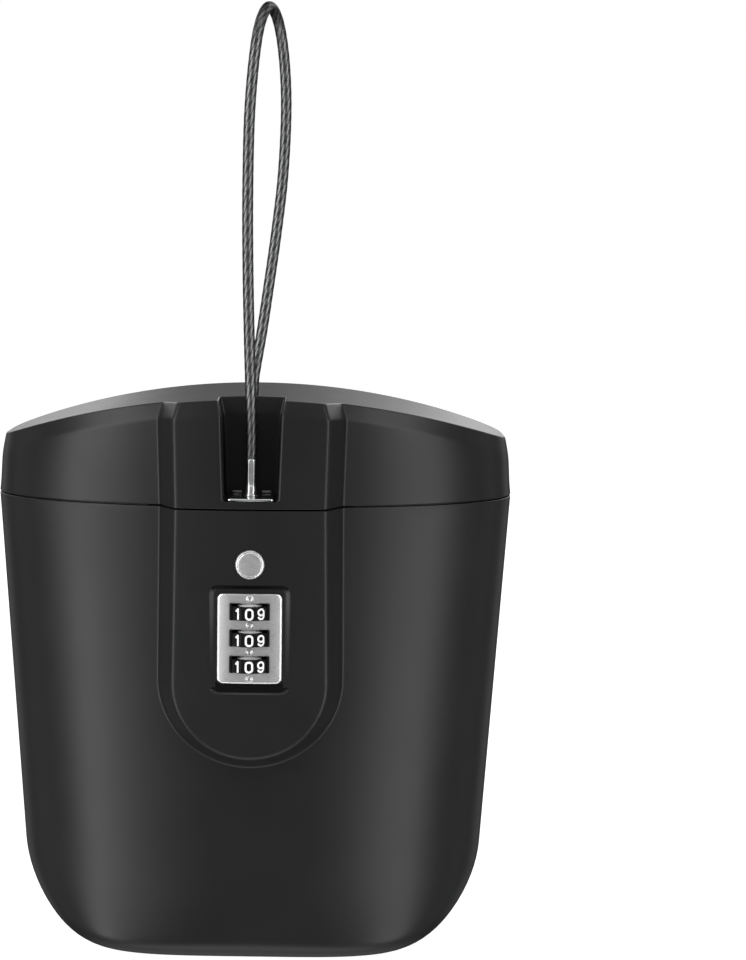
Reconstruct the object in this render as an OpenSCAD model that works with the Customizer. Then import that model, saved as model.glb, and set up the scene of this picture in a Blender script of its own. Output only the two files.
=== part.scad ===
// Portable lidded safe: a D-shaped moulded box with a rear-hinged lid, a
// raised U-shaped front panel that carries a release button and a three-dial
// combination lock, and a steel cable loop that runs out of the lid roof and
// down to a locking stud in a channel at the front of the lid.
// Millimetres. X to the right, Z up, the front faces -Y, the base is at Z = 0.

/* [Case] */
// Widest width of the case, at the parting line
body_w = 190; // [188:0.5:192]
// Height of the parting line between body and lid
part_z = 164.5; // [164.5:0.1:164.5]
// Depth of the curved front, ahead of the widest line
front_d = 54; // [53:0.5:55]
// Depth of the flat rear, behind the widest line
rear_d = 42; // [42:0.5:42]
// Inward taper of the side walls towards the base, in degrees
side_taper = 4.2; // [3.5:0.1:5]
// Width of the rounded lower corners
corner_w = 28; // [24:1:32]
// Height of the rounded lower corners
corner_h = 34; // [30:1:38]
// Fillet between the front and the base
front_fillet = 8; // [6:1:10]
// Wall thickness of both mouldings
wall = 2.8; // [2.6:0.1:3]

/* [Lid] */
// Height of the crown of the lid roof
crown_z = 202.8; // [202:0.2:203.6]
// Radius of the arched roof
roof_r = 266; // [250:2:290]
// Inward lean of the lid's sides, in degrees
lid_lean = 7; // [6:0.5:8]
// Height of the sloped band along the front top edge
band_h = 5.6; // [5:0.2:6]
// How far the band sets the top edge back
band_in = 2.7; // [2:0.1:3]

/* [Front panel] */
// Half width of the panel's outline where it meets the case
panel_foot = 33.7; // [33:0.1:34.4]
// Half width of the panel's face
panel_face = 25.3; // [24.6:0.1:26]
// Height of the centre of the panel's round lower end
panel_arc_z = 102.5; // [101:0.5:104]
// Distance from the case's widest line to the panel's face
panel_y = 65; // [65:0.1:65]
// Radius of the slightly convex panel face
panel_r = 178; // [160:2:200]

/* [Lid channel] */
// Half width of the channel at its floor
chan_lo = 9.5; // [9:0.1:10]
// Half width of the channel below the sloped band
chan_hi = 10.5; // [10:0.1:11]
// Height of the channel floor
chan_z = 167.3; // [167.3:0.1:167.3]

/* [Combination lock] */
// Radius of a number dial
dial_r = 7.1; // [7:0.02:7.14]
// Height of a number dial
dial_h = 4.7; // [4.6:0.1:4.8]
// Spacing of the dials
dial_pitch = 9.35; // [9.35:0.05:9.35]
// Height of the middle dial
dial_z = 118.8; // [118.8:0.1:118.8]
// Width of the lock's front plate
bezel_w = 22.7; // [22:0.1:23.4]
// Height of the lock's front plate
bezel_h = 31.9; // [31.5:0.1:32.3]
// Height of the release button
button_z = 145.3; // [145.3:0.1:145.3]
// Radius of the button's trim ring
button_r = 5.15; // [5.1:0.05:5.2]

/* [Cable] */
// Diameter of the coated steel cable
cable_d = 3.9; // [3.6:0.1:3.9]
// Diameter of the locking stud
stud_d = 3.8; // [3.6:0.1:3.8]

/* [Hinge] */
// Diameter of the hinge pin
pin_d = 3; // [3:0.1:3]
// Radius of the hinge knuckles
knuckle_r = 4; // [4:0.1:4]

/* [Hidden] */

N = 64;               // points around one outline of the case
yc = 6;               // widest line of the case, from the origin
gap = 0.15;           // half of the gap at the parting line
zb = part_z - gap;    // top of the body
zl = part_z + gap;    // bottom of the lid
lip_h = 2.1;          // tongue that the lid drops over
roof_t = 2.8;         // roof thickness
front_draft = 0.4;
lid_front = 3.1;      // lean of the lid's front, in degrees
lid_rear = 1;         // lean of the lid's rear, in degrees
face_y = yc - panel_y; // panel face at the parting line
face_lean = 1.5;      // lean of the body's panel face, in degrees
ax_y = -54.6;         // dial axis
plate_y = -57.6;      // front of the lock's front plate
recess_y = -56.6;     // floor of the recess around the lock
inner_y = -54.2;      // inside of the panel's front wall
stud_y = -48.5;       // axis of the stud and its socket
exit_y = -26;         // axis of the cable's exit in the roof
hinge_y = 50.5;       // hinge axis
press = 2.4;          // travel of the button
up = 0.4;             // windows and studs sit this far above the dials
cam_r = 4.2;          // radius of the cams pressed in the dials
zd = [dial_z - dial_pitch, dial_z, dial_z + dial_pitch];
black = [0.06, 0.063, 0.067];
chrome = [0.86, 0.87, 0.88];
steel = [0.62, 0.63, 0.64];

// Route of the cable: from the ferrule up the front strand, over the top of
// the loop, down the rear strand, through the roof to the captive stop.
route = [[0, -48.5, 181.7], [0, -48.6, 192], [-0.4, -49, 206],
  [-1.0, -50, 225], [-1.6, -51, 250], [-1.8, -52, 275], [-1.4, -52.8, 300],
  [-0.2, -52, 318], [1.4, -48, 331], [3.4, -42, 338], [5.4, -35, 340],
  [7.6, -28, 336.5], [9.4, -22.5, 328], [10.6, -19.5, 315],
  [10.8, -18.6, 300], [9.8, -19, 280], [7.6, -20.6, 260],
  [5.2, -22.6, 242], [2.8, -24.6, 225], [0.8, -25.8, 213], [0, -26, 206],
  [0, -26, 190], [0, -26, 174.3]];

// ---- outlines ----
function corner_t(z, o) = z >= corner_h ? 1
  : sqrt(max(0, 1 - pow((corner_h - z) / (corner_h - o), 2)));
function edge_in(z, r, o) = z >= r ? 0
  : (r - o) * (1 - sqrt(max(0, 1 - pow((r - z) / (r - o), 2))));
function body_half(z, o) = body_w / 2 - (part_z - z) * tan(side_taper) - o
  - (corner_w - o) * (1 - corner_t(z, o));
// Point i of the body's outline at height z, o inside the outer skin
function body_pt(i, z, o) = let (a = 360 * i / N, c = cos(a), s = sin(a),
    w = body_half(z, o), n = 2 + 2.3 * (1 - corner_t(z, o)),
    f = front_d - o - (part_z - z) * tan(front_draft) - edge_in(z, front_fillet, o),
    r = rear_d - o - edge_in(z, 6, o))
  s < 0 ? [w * sign(c) * pow(abs(c), 2 / n), yc - f * pow(-s, 2 / n), z]
        : [w * sign(c) * pow(abs(c), 1 / 3), yc + r * pow(s, 1 / 3), z];
function body_ring(z, o, zz) = [for (i = [0:N - 1]) let (p = body_pt(i, z, o))
    [p.x, p.y, zz]];
function roof(x) = crown_z - roof_r + sqrt(roof_r * roof_r - x * x);
// Point i of the lid's side at height z, o inside the outer skin
function lid_pt(i, z, o, back) = let (a = 360 * i / N, c = cos(a), s = sin(a),
    w = body_w / 2 - o - (z - part_z) * tan(lid_lean),
    f = front_d - o - (z - part_z) * tan(lid_front) - back * min(1, -2 * s),
    r = rear_d - o - (z - part_z) * tan(lid_rear))
  s < 0 ? [w * c, yc - f * -s, z]
        : [w * sign(c) * pow(abs(c), 1 / 3), yc + r * pow(s, 1 / 3), z];
function lid_ring(z, o) = [for (i = [0:N - 1]) lid_pt(i, z, o, 0)];
function lid_under(o, dz, back) = [for (i = [0:N - 1])
    let (x = (body_w / 2 - o - 4) * cos(360 * i / N))
    lid_pt(i, roof(x) - dz, o, back)];
function lid_top(o, dz, back, k) = [for (i = [0:N - 1])
    let (x = (body_w / 2 - o - 4) * cos(360 * i / N),
         p = lid_pt(i, roof(x) - dz, o, back), q = k * p.x)
    [q, yc + k * (p.y - yc), roof(q) - dz]];
function flat(r) = [for (a = r) for (p = a) p];
function walls(n, m) = [for (k = [0:m - 2]) for (i = [0:n - 1])
    let (j = (i + 1) % n) for (t = [0, 1])
    t == 0 ? [k * n + i, (k + 1) * n + i, (k + 1) * n + j]
           : [k * n + i, (k + 1) * n + j, k * n + j]];

// Body moulding: a cup with a tongue around its rim
module cup() {
  rings = concat(
    [for (z = [0, 0.5, 1.8, 4.2, 8, 14, 22, corner_h, 100, zb]) body_ring(z, 0, z)],
    [body_ring(part_z, 1.8, zb), body_ring(part_z, 1.8, zb + lip_h),
     body_ring(part_z, wall, zb + lip_h)],
    [for (z = [corner_h, 22, 14, 8, 5, 3.4, wall]) body_ring(z, wall, z)]);
  m = len(rings);
  polyhedron(points = flat(rings), faces = concat(
    [[for (i = [0:N - 1]) i]],
    walls(N, m),
    [[for (i = [N - 1:-1:0]) (m - 1) * N + i]]), convexity = 8);
}
// Lid moulding: a cap with an arched roof and a rebate for the tongue
module cap() {
  rings = [lid_top(wall, roof_t, 2, 0.25), lid_top(wall, roof_t, 2, 0.55),
    lid_top(wall, roof_t, 2, 0.82), lid_top(wall, roof_t, 2, 1),
    lid_ring(part_z + lip_h + 0.5, wall), lid_ring(part_z + lip_h + 0.5, 1.05),
    lid_ring(zl, 1.05), lid_ring(zl, 0), lid_under(0, band_h, 0),
    lid_top(0, 0, band_in, 1), lid_top(0, 0, band_in, 0.82),
    lid_top(0, 0, band_in, 0.55), lid_top(0, 0, band_in, 0.25)];
  m = len(rings);
  polyhedron(points = concat(flat(rings),
      [[0, yc, crown_z - roof_t], [0, yc, crown_z]]),
    faces = concat([for (i = [0:N - 1]) [i, (i + 1) % N, m * N]],
      walls(N, m),
      [for (i = [0:N - 1]) [(m - 1) * N + (i + 1) % N, (m - 1) * N + i, m * N + 1]]),
    convexity = 8);
}
// U outline in the XZ plane
module u_shape(r, top) {
  translate([0, panel_arc_z]) circle(r, $fn = 64);
  translate([-r, panel_arc_z]) square([2 * r, top - panel_arc_z]);
}
module u_prism(r, top, y0, y1) {
  translate([0, y1, 0]) rotate([90, 0, 0]) linear_extrude(y1 - y0) u_shape(r, top);
}
// Column along Z, slightly convex, that trims the panel's face
module face_column(lean) {
  translate([0, face_y + panel_r, part_z]) rotate([lean, 0, 0])
    cylinder(r = panel_r, h = 300, center = true, $fn = 240);
}
module body_panel() {
  intersection() {
    hull() {
      translate([0, -42, 0]) rotate([90, 0, 0]) linear_extrude(0.01) u_hull(panel_foot);
      translate([0, -60, 0]) rotate([90, 0, 0]) linear_extrude(0.01) u_hull(panel_face);
    }
    face_column(face_lean);
  }
}
module u_hull(r) {
  translate([0, panel_arc_z]) circle(r, $fn = 32);
  translate([-r, panel_arc_z]) square([2 * r, zb - panel_arc_z]);
}
module y_cyl(r, y0, y1, x, z) {
  translate([x, y1, z]) rotate([90, 0, 0]) cylinder(r = r, h = y1 - y0, $fn = 48);
}
module box(a, b) { translate(a) cube(b - a); }
module x_cyl(r, x0, x1, y, z) {
  translate([x0, y, z]) rotate([0, 90, 0]) cylinder(r = r, h = x1 - x0, $fn = 48);
}

module body_shell() color(black) {
  difference() {
    union() {
      difference() {
        union() { cup(); body_panel(); }
        u_prism(25.4, 175, inner_y, -40);
        box([-34.5, -62, zb], [34.5, -38, 172]);
      }
      box([-25.6, -54.4, 161], [25.6, -42, zb]);              // deck over the lock
      for (s = [-1, 1]) {
        box([s < 0 ? -8 : 5.8, -53.4, 157], [s < 0 ? -5.8 : 8, -43, 161.2]);
        box([s < 0 ? -8 : 4.6, -53.4, 157], [s < 0 ? -4.6 : 8, -43, 158.2]);
        for (z = [103.5, 133.5]) y_cyl(2.6, -54.4, -51.2, 15.5 * s, z);
        for (z = [104, 152]) y_cyl(2.6, -45, -40.9, 28.5 * s, z); // cover bosses
      }
      box([-53, 43.2, 148], [53, 46.5, zb]);                  // hinge rib
      for (x = [-50, -10, 30]) x_cyl(knuckle_r, x, x + 20, hinge_y, part_z);
    }
    box([-13.6, -62, 99.4], [13.6, recess_y, 137.8]);         // lock recess
    box([-8.8, -60, 104.4], [8.8, -53, 134]);                 // lock opening
    y_cyl(button_r, -62, -53, 0, button_z);                   // button bore
    box([-1.7, -55.65, 133], [1.7, -54, 141]);                // bar relief
    translate([0, stud_y, 160]) cylinder(r = 3.6, h = 8, $fn = 48);
    for (s = [-1, 1]) {
      for (z = [103.5, 133.5]) y_cyl(0.9, -55.4, -51, 15.5 * s, z);
      for (z = [104, 152]) y_cyl(1.1, -47, -40.8, 28.5 * s, z);
      x_cyl(knuckle_r + 0.5, s < 0 ? -30.15 : 9.85, s < 0 ? -9.85 : 30.15, hinge_y, part_z);
    }
    x_cyl(pin_d / 2 + 0.06, -55, 55, hinge_y, part_z);
  }
}

module channel() {
  intersection() {
    translate([0, -36, 0]) rotate([90, 0, 0]) linear_extrude(40)
      translate([0, 8]) polygon([[-chan_lo, chan_z - 8], [chan_lo, chan_z - 8],
        [chan_hi, 189], [chan_hi + 2.1, 200], [-chan_hi - 2.1, 200],
        [-chan_hi, 189]]);
    translate([-20, 0, 0]) rotate([90, 0, 90]) linear_extrude(40)
      polygon([[-70, chan_z], [-37.2, chan_z], [-36.4, 197], [-33.6, 205],
        [-70, 205]]);
  }
}
// Plan of the panel where it carries on up the lid, from y back to the face
module lid_plan(y) {
  foot = panel_foot + (y + 42) * (panel_foot - panel_face) / 18;
  polygon([[-foot, y], [-panel_face, -60], [panel_face, -60], [foot, y]]);
}
module lid_shell() color(black) {
  difference() {
    union() {
      difference() {
        union() {
          cap();
          intersection() {
            difference() {
              translate([0, 0, zl]) linear_extrude(42) lid_plan(-38);
              box([-40, -42, 160], [40, -30, 194]);
            }
            face_column(-lid_front);
            translate([0, 100, crown_z - roof_r - 0.12]) rotate([90, 0, 0])
              cylinder(r = roof_r, h = 300, $fn = 360);
            translate([0, face_y + 1.75, 196.6]) rotate([-28.8, 0, 0])
              box([-60, 0, -60], [60, 120, 60]);
          }
        }
        for (s = [-1, 1])
          box([s < 0 ? -23.4 : 14.8, -54.6, 160], [s < 0 ? -14.8 : 23.4, -40, 194.5]);
      }
      box([-14.8, -52, zl], [14.8, -31.2, 200.6]);            // channel walls
      for (x = [-29.75, 10.25]) x_cyl(knuckle_r, x, x + 19.5, hinge_y, part_z);
      box([-53, 42.6, 167.4], [53, 45.4, 178]);               // hinge rib
    }
    channel();
    translate([0, stud_y, 160]) cylinder(r = 3.35, h = 12, $fn = 48);
    translate([0, exit_y, 195]) cylinder(r = 2.9, h = 12, $fn = 48);
    for (x = [-50.4, -10.4, 29.6])
      x_cyl(knuckle_r + 0.5, x, x + 20.8, hinge_y, part_z);
    x_cyl(pin_d / 2 + 0.06, -55, 55, hinge_y, part_z);
  }
}

module hinge_pin() color(steel) {
  x_cyl(pin_d / 2, -50.6, 50.6, hinge_y, part_z);
  for (s = [-1, 1])
    x_cyl(2.4, s < 0 ? -51.6 : 50.05, s < 0 ? -50.05 : 51.6, hinge_y, part_z);
}
module strike_plate() color(chrome) difference() {
  translate([0, 0, chan_z]) linear_extrude(1.2) union() {
    translate([-7.7, -57.2]) square([15.4, 19.8]);
    translate([-6.2, -58.6]) square([12.4, 2]);
    for (s = [-1, 1]) translate([6.2 * s, -57.1]) circle(1.5, $fn = 32);
  }
  translate([0, stud_y, 160]) cylinder(r = stud_d / 2 + 0.2, h = 12, $fn = 48);
}
module cable_bushing() color([0.1, 0.1, 0.105]) translate([0, exit_y, 0])
  rotate_extrude($fn = 64) polygon([[cable_d / 2 + 0.1, 198.5], [4.4, 198.5],
    [4.4, 199.95], [2.9, 199.95], [2.9, 202.7], [cable_d / 2 + 0.5, 202.9],
    [cable_d / 2 + 0.1, 202.5]]);

// Cable: eight-sided tube swept along a smooth curve through the route
sub = 3;
last = len(route) - 1;
function rp(i) = route[max(0, min(last, i))];
function curve(i, t) = let (a = rp(i - 1), b = rp(i), c = rp(i + 1), d = rp(i + 2),
    m0 = (c - a) / 2, m1 = (d - b) / 2)
  (2 * t * t * t - 3 * t * t + 1) * b + (t * t * t - 2 * t * t + t) * m0
  + (3 * t * t - 2 * t * t * t) * c + (t * t * t - t * t) * m1;
path = concat([for (i = [0:last - 1]) for (k = [0:sub - 1]) curve(i, k / sub)],
  [route[last]]);
function unit(v) = v / norm(v);
function tangent(i) = i == 0 || i == len(path) - 1 || path[i].z < 200
  ? [0, 0, path[i].y < -37 ? 1 : -1]
  : unit(path[min(len(path) - 1, i + 1)] - path[max(0, i - 1)]);
module steel_cable() color([0.3, 0.31, 0.32]) {
  m = len(path);
  pts = [for (i = [0:m - 1]) let (t = tangent(i), u = unit(cross(t, [1, 0.05, 0])),
      v = cross(t, u)) for (k = [0:7])
      path[i] + cable_d / 2 * (cos(45 * k) * u + sin(45 * k) * v)];
  polyhedron(points = pts, faces = concat([[for (k = [0:7]) k]], walls(8, m),
    [[for (k = [7:-1:0]) (m - 1) * 8 + k]]), convexity = 10);
}
module cable_ferrule() color(chrome) translate([0, stud_y, 0])
  rotate_extrude($fn = 64) polygon([[0, 168.5], [2.7, 168.5], [2.7, 169.2],
    [2.3, 169.4], [2.3, 172.1], [2.05, 172.3], [2.05, 181.4], [1.8, 181.7],
    [0, 181.7]]);
module locking_stud() color(chrome) translate([0, stud_y, 0])
  rotate_extrude($fn = 64) polygon([[0, 155.7], [1.2, 155.7],
    [stud_d / 2, 156.6], [stud_d / 2, 158.1], [1.2, 158.1], [1.2, 159.7],
    [stud_d / 2, 159.7], [stud_d / 2, 168.5], [0, 168.5]]);
module stop_sleeve() color(steel) translate([0, exit_y, 0])
  rotate_extrude($fn = 64) polygon([[0, 167.3], [2.9, 167.3], [3.3, 167.8],
    [3.3, 173.8], [2.9, 174.3], [0, 174.3]]);

module lock_case() color([0.2, 0.2, 0.21]) difference() {
  union() {
    box([-8.6, recess_y, 104.7], [8.6, inner_y + 0.1, 133.7]);
    box([-11.5, inner_y, 101], [11.5, -45.4, 136.5]);
    box([-18.2, -51.2, 100.3], [18.2, -49.6, 136.8]);
  }
  for (z = zd) translate([0, ax_y, z - 2.65]) cylinder(r = 7.5, h = 6.3, $fn = 96);
  translate([0, ax_y, 104.9]) cylinder(r = 1.45, h = 40, $fn = 48);
  box([-3.3, -48.4, 104], [3.3, -45, 134.4]);
  for (s = [-1, 1]) for (z = [103.5, 133.5]) y_cyl(1.15, -52, -49, 15.5 * s, z);
}
module lock_bezel() color([0.78, 0.78, 0.79]) difference() {
  translate([0, recess_y, dial_z + 0.1]) rotate([90, 0, 0]) linear_extrude(recess_y - plate_y)
    hull() for (x = [-1, 1]) for (z = [-1, 1])
      translate([x * (bezel_w / 2 - 1.9), z * (bezel_h / 2 - 1.9)]) circle(1.9, $fn = 32);
  for (z = zd) box([-6.95, -60, z + up - 2.9], [6.95, -50, z + up + 2.9]);
  for (k = [-1.5, -0.5, 0.5, 1.5]) y_cyl(0.65, -60, -50, 0, dial_z + 0.2 + k * 9.4);
}
module index_studs() color([0.84, 0.84, 0.85])
  for (k = [-1.5, -0.5, 0.5, 1.5])
    translate([0, 0, dial_z + 0.2 + k * 9.4]) rotate([90, 0, 0]) rotate_extrude($fn = 48)
      polygon([[0, 56.62], [0.65, 56.62], [0.65, 57.6], [1.35, 57.6], [1.2, 57.85],
        [0, 57.95]]);
module dial() difference() {
  rotate_extrude($fn = 96) polygon([[cam_r, -dial_h / 2], [dial_r - 0.3, -dial_h / 2],
    [dial_r, -dial_h / 2 + 0.3], [dial_r, dial_h / 2 - 0.3],
    [dial_r - 0.3, dial_h / 2], [cam_r, dial_h / 2]]);
  for (k = [0:9]) rotate([0, 0, 36 * k + 18]) translate([-dial_r - 0.25, 0, -4])
    cylinder(r = 0.5, h = 8, $fn = 24);
}
module cam() rotate([0, 0, -90]) difference() {
  rotate_extrude($fn = 64) polygon([[1.38, dial_h / 2 - 0.9], [3.3, dial_h / 2 - 0.9],
    [3.3, -dial_h / 2], [cam_r, -dial_h / 2], [cam_r, dial_h / 2], [1.38, dial_h / 2]]);
  box([-3.2, -0.8, 1], [0, 0.8, 3]);
}
module dial_top() color([0.08, 0.08, 0.085]) translate([0, ax_y, zd[2]]) rotate([0, 0, 90]) dial();
module dial_middle() color([0.08, 0.08, 0.085]) translate([0, ax_y, zd[1]]) rotate([0, 0, 90]) dial();
module dial_bottom() color([0.08, 0.08, 0.085]) translate([0, ax_y, zd[0]]) rotate([0, 0, 90]) dial();
module cam_top() color(steel) translate([0, ax_y, zd[2]]) cam();
module cam_middle() color(steel) translate([0, ax_y, zd[1]]) cam();
module cam_bottom() color(steel) translate([0, ax_y, zd[0]]) cam();
// Toothed bar through the cams, with a 45 degree wedge at its top
module locking_bar() color(steel) difference() {
  union() {
    translate([0, ax_y, 109]) cylinder(r = 1.3, h = 34.4, $fn = 48);
    for (z = zd) box([-0.65, ax_y, z + 2.6], [0.65, ax_y + 3, z + 3.4]);
  }
  box([-3, ax_y - 3, 133.4], [3, -55.3, 150]);
  translate([-3, -53.3, 143.4]) rotate([45, 0, 0]) box([0, -10, 0], [6, 10, 10]);
}
// Button: guided disc, 45 degree cone that drives the bar, and stem
module button_cap() color(chrome) translate([0, 0, button_z]) rotate([90, 0, 0])
  rotate_extrude($fn = 96) polygon([[0, 50.5], [1.8, 50.5], [1.8, 53.3],
    [4.1, 55.6], [4.1, 57.5], [4.32, 57.7], [4.32, 59.3], [4.0, 59.6], [0, 59.6]]);
module button_ring() color(chrome) translate([0, 0, button_z]) rotate([90, 0, 0])
  rotate_extrude($fn = 96) polygon([[4.4, 55.45], [button_r, 55.45],
    [button_r, 58.9], [4.7, 59.35], [4.4, 59.2]]);
module release_slide() color(steel) difference() {
  union() {
    box([-5.4, -50.5, 141.5], [5.4, -49.3, 151]);
    for (s = [-1, 1]) box([s < 0 ? -4.4 : 2.7, -50.5, 150], [s < 0 ? -2.7 : 4.4, -49.3, 159]);
    box([-5.5, -53.8, 158.4], [5.5, -45.2, 159.4]);
  }
  translate([0, stud_y - press, 150]) cylinder(r = 2.25, h = 12, $fn = 48);
  translate([0, stud_y, 150]) cylinder(r = 1.35, h = 12, $fn = 48);
  box([-1.35, stud_y - press, 150], [1.35, stud_y, 162]);
}
// Coil spring along Z: six-sided wire, turns from z0 to z1
module coil(r, wire, z0, z1, turns) {
  m = 10 * turns;
  pts = [for (i = [0:m]) let (a = 36 * i, c = cos(a), s = sin(a)) for (k = [0:5])
      [(r + wire * cos(60 * k)) * c, (r + wire * cos(60 * k)) * s,
       z0 + wire + (z1 - z0 - 2 * wire) * i / m - wire * sin(60 * k)]];
  polyhedron(points = pts, faces = concat([[for (k = [0:5]) 5 - k]],
    [for (f = walls(6, m + 1)) [f[0], f[2], f[1]]],
    [[for (k = [0:5]) m * 6 + k]]), convexity = 10);
}
module bar_spring() color(steel) translate([0, ax_y, 0]) coil(1.0, 0.2, 104.95, 108.95, 4);
module button_spring() color(steel) translate([0, -40.95, button_z]) rotate([90, 0, 0])
  coil(2.2, 0.3, 0, 8.3, 5);
module detent_spring() color(steel) union() {
  box([-3.1, -46.4, 104.2], [3.1, -46, 134.2]);
  for (z = zd) translate([2.2, -46.8, z - 1.5]) cylinder(r = 0.85, h = 3, $fn = 32);
}
module socket_bush() color(steel) translate([0, stud_y, 0]) rotate_extrude($fn = 64)
  polygon([[2.15, 160.6], [3.6, 160.6], [3.6, zb], [2.4, zb], [2.15, zb - 0.3]]);
module lock_cover() color([0.1, 0.1, 0.105]) difference() {
  u_prism(31.5, 160.6, -40.9, -39.3);
  for (s = [-1, 1]) for (z = [104, 152]) y_cyl(1.35, -43, -38, 28.5 * s, z);
}
module screw(r, l, hr, hh) {
  rotate_extrude($fn = 32) polygon([[0, 0], [r, 0], [r, l], [hr, l], [hr, l + hh * 0.6],
    [hr * 0.75, l + hh], [0, l + hh]]);
}
module case_screws() color(steel) for (s = [-1, 1]) for (z = [103.5, 133.5])
  translate([15.5 * s, -55.2, z]) rotate([-90, 0, 0]) screw(0.9, 5.6, 1.9, 1.2);
module cover_screws() color(steel) for (s = [-1, 1]) for (z = [104, 152])
  translate([28.5 * s, -46.8, z]) rotate([-90, 0, 0]) screw(1.1, 7.5, 2.2, 1.3);

body_shell();
lid_shell();
hinge_pin();
strike_plate();
cable_bushing();
steel_cable();
cable_ferrule();
locking_stud();
stop_sleeve();
lock_case();
lock_bezel();
index_studs();
dial_top();
dial_middle();
dial_bottom();
cam_top();
cam_middle();
cam_bottom();
locking_bar();
bar_spring();
button_ring();
button_cap();
release_slide();
button_spring();
detent_spring();
socket_bush();
lock_cover();
case_screws();
cover_screws();
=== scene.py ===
import math

import bmesh
import bpy
import numpy as np
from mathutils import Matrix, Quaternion, Vector
from mathutils.geometry import delaunay_2d_cdt


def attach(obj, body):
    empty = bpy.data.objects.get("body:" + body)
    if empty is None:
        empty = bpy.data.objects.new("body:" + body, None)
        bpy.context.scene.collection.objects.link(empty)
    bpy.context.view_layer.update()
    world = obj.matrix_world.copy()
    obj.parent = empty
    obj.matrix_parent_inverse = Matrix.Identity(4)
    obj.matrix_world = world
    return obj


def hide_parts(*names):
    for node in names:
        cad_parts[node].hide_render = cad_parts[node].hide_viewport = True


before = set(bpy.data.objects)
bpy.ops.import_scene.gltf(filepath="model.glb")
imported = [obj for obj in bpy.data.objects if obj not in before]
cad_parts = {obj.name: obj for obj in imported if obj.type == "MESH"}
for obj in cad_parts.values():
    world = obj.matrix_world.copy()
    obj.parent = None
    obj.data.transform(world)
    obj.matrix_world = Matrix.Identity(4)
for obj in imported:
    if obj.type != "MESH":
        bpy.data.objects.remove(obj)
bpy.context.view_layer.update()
scene = bpy.context.scene
MM = 0.001
rad = math.radians

# ------------------------------------------------------------------ camera
TARGET = Vector((0.0, -0.004, 0.1698))
AZ, EL, ROLL = rad(1.43), rad(5.6), rad(0.41)
cam_data = bpy.data.cameras.new("camera")
cam_data.sensor_fit = "AUTO"
cam_data.sensor_width = 36.0
cam_data.lens = 101.62
cam_data.shift_x = 0.1236
cam_data.shift_y = 0.0
cam_data.dof.use_dof = False
cam = bpy.data.objects.new("camera", cam_data)
scene.collection.objects.link(cam)
way = Vector((math.sin(AZ) * math.cos(EL), -math.cos(AZ) * math.cos(EL), math.sin(EL)))
cam.location = TARGET + way
cam.rotation_mode = "QUATERNION"
cam.rotation_quaternion = (-way).to_track_quat("-Z", "Y") @ Quaternion((0, 0, 1), ROLL)
scene.camera = cam
scene.view_settings.view_transform = "Standard"
scene.view_settings.look = "None"

# ------------------------------------------------------------------ sizes, mm
PART, GAP = 164.5, 0.25
ZB, ZL = PART - GAP, PART + GAP
YC, W0, F0, R0 = 6.0, 95.0, 54.0, 42.0
FOOT, SLOPE = 33.7, 8.4 / 18.0
ARC_Z, FACE_R, FACE_Y = 102.5, 178.0, -59.0
CHAN_Z = 167.3
STUD_Y, EXIT_Y, HINGE_Y = -48.5, -26.0, 50.5
AX_Y = -54.6
DIAL_Z, PITCH = 118.8, 9.35
BUTTON_Z = 145.3


# ------------------------------------------------------------------ materials
def new_mat(name):
    m = bpy.data.materials.new(name)
    m.use_nodes = True
    nt = m.node_tree
    b = nt.nodes["Principled BSDF"]
    tc = nt.nodes.new("ShaderNodeTexCoord")
    return m, nt, b, tc


def noise(nt, tc, scale, detail=2.0, rough=0.5, stretch=None):
    n = nt.nodes.new("ShaderNodeTexNoise")
    n.inputs["Scale"].default_value = scale
    n.inputs["Detail"].default_value = detail
    n.inputs["Roughness"].default_value = rough
    if stretch is None:
        nt.links.new(tc.outputs["Object"], n.inputs["Vector"])
    else:
        mp = nt.nodes.new("ShaderNodeMapping")
        mp.inputs["Scale"].default_value = stretch
        nt.links.new(tc.outputs["Object"], mp.inputs["Vector"])
        nt.links.new(mp.outputs["Vector"], n.inputs["Vector"])
    return n.outputs["Fac"]


def spread(nt, fac, lo, hi, a=0.3, b=0.7):
    r = nt.nodes.new("ShaderNodeMapRange")
    r.inputs["From Min"].default_value = a
    r.inputs["From Max"].default_value = b
    r.inputs["To Min"].default_value = lo
    r.inputs["To Max"].default_value = hi
    nt.links.new(fac, r.inputs["Value"])
    return r.outputs["Result"]


def tint(nt, fac, c0, c1):
    m = nt.nodes.new("ShaderNodeMix")
    m.data_type = "RGBA"
    m.inputs["A"].default_value = (*c0, 1)
    m.inputs["B"].default_value = (*c1, 1)
    nt.links.new(fac, m.inputs["Factor"])
    return m.outputs["Result"]


def bump(nt, b, heights):
    """heights: [(socket, strength, distance)] one after another."""
    last = None
    for sock, strength, dist in heights:
        n = nt.nodes.new("ShaderNodeBump")
        n.inputs["Strength"].default_value = strength
        n.inputs["Distance"].default_value = dist
        nt.links.new(sock, n.inputs["Height"])
        if last is not None:
            nt.links.new(last, n.inputs["Normal"])
        last = n.outputs["Normal"]
    nt.links.new(last, b.inputs["Normal"])


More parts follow.
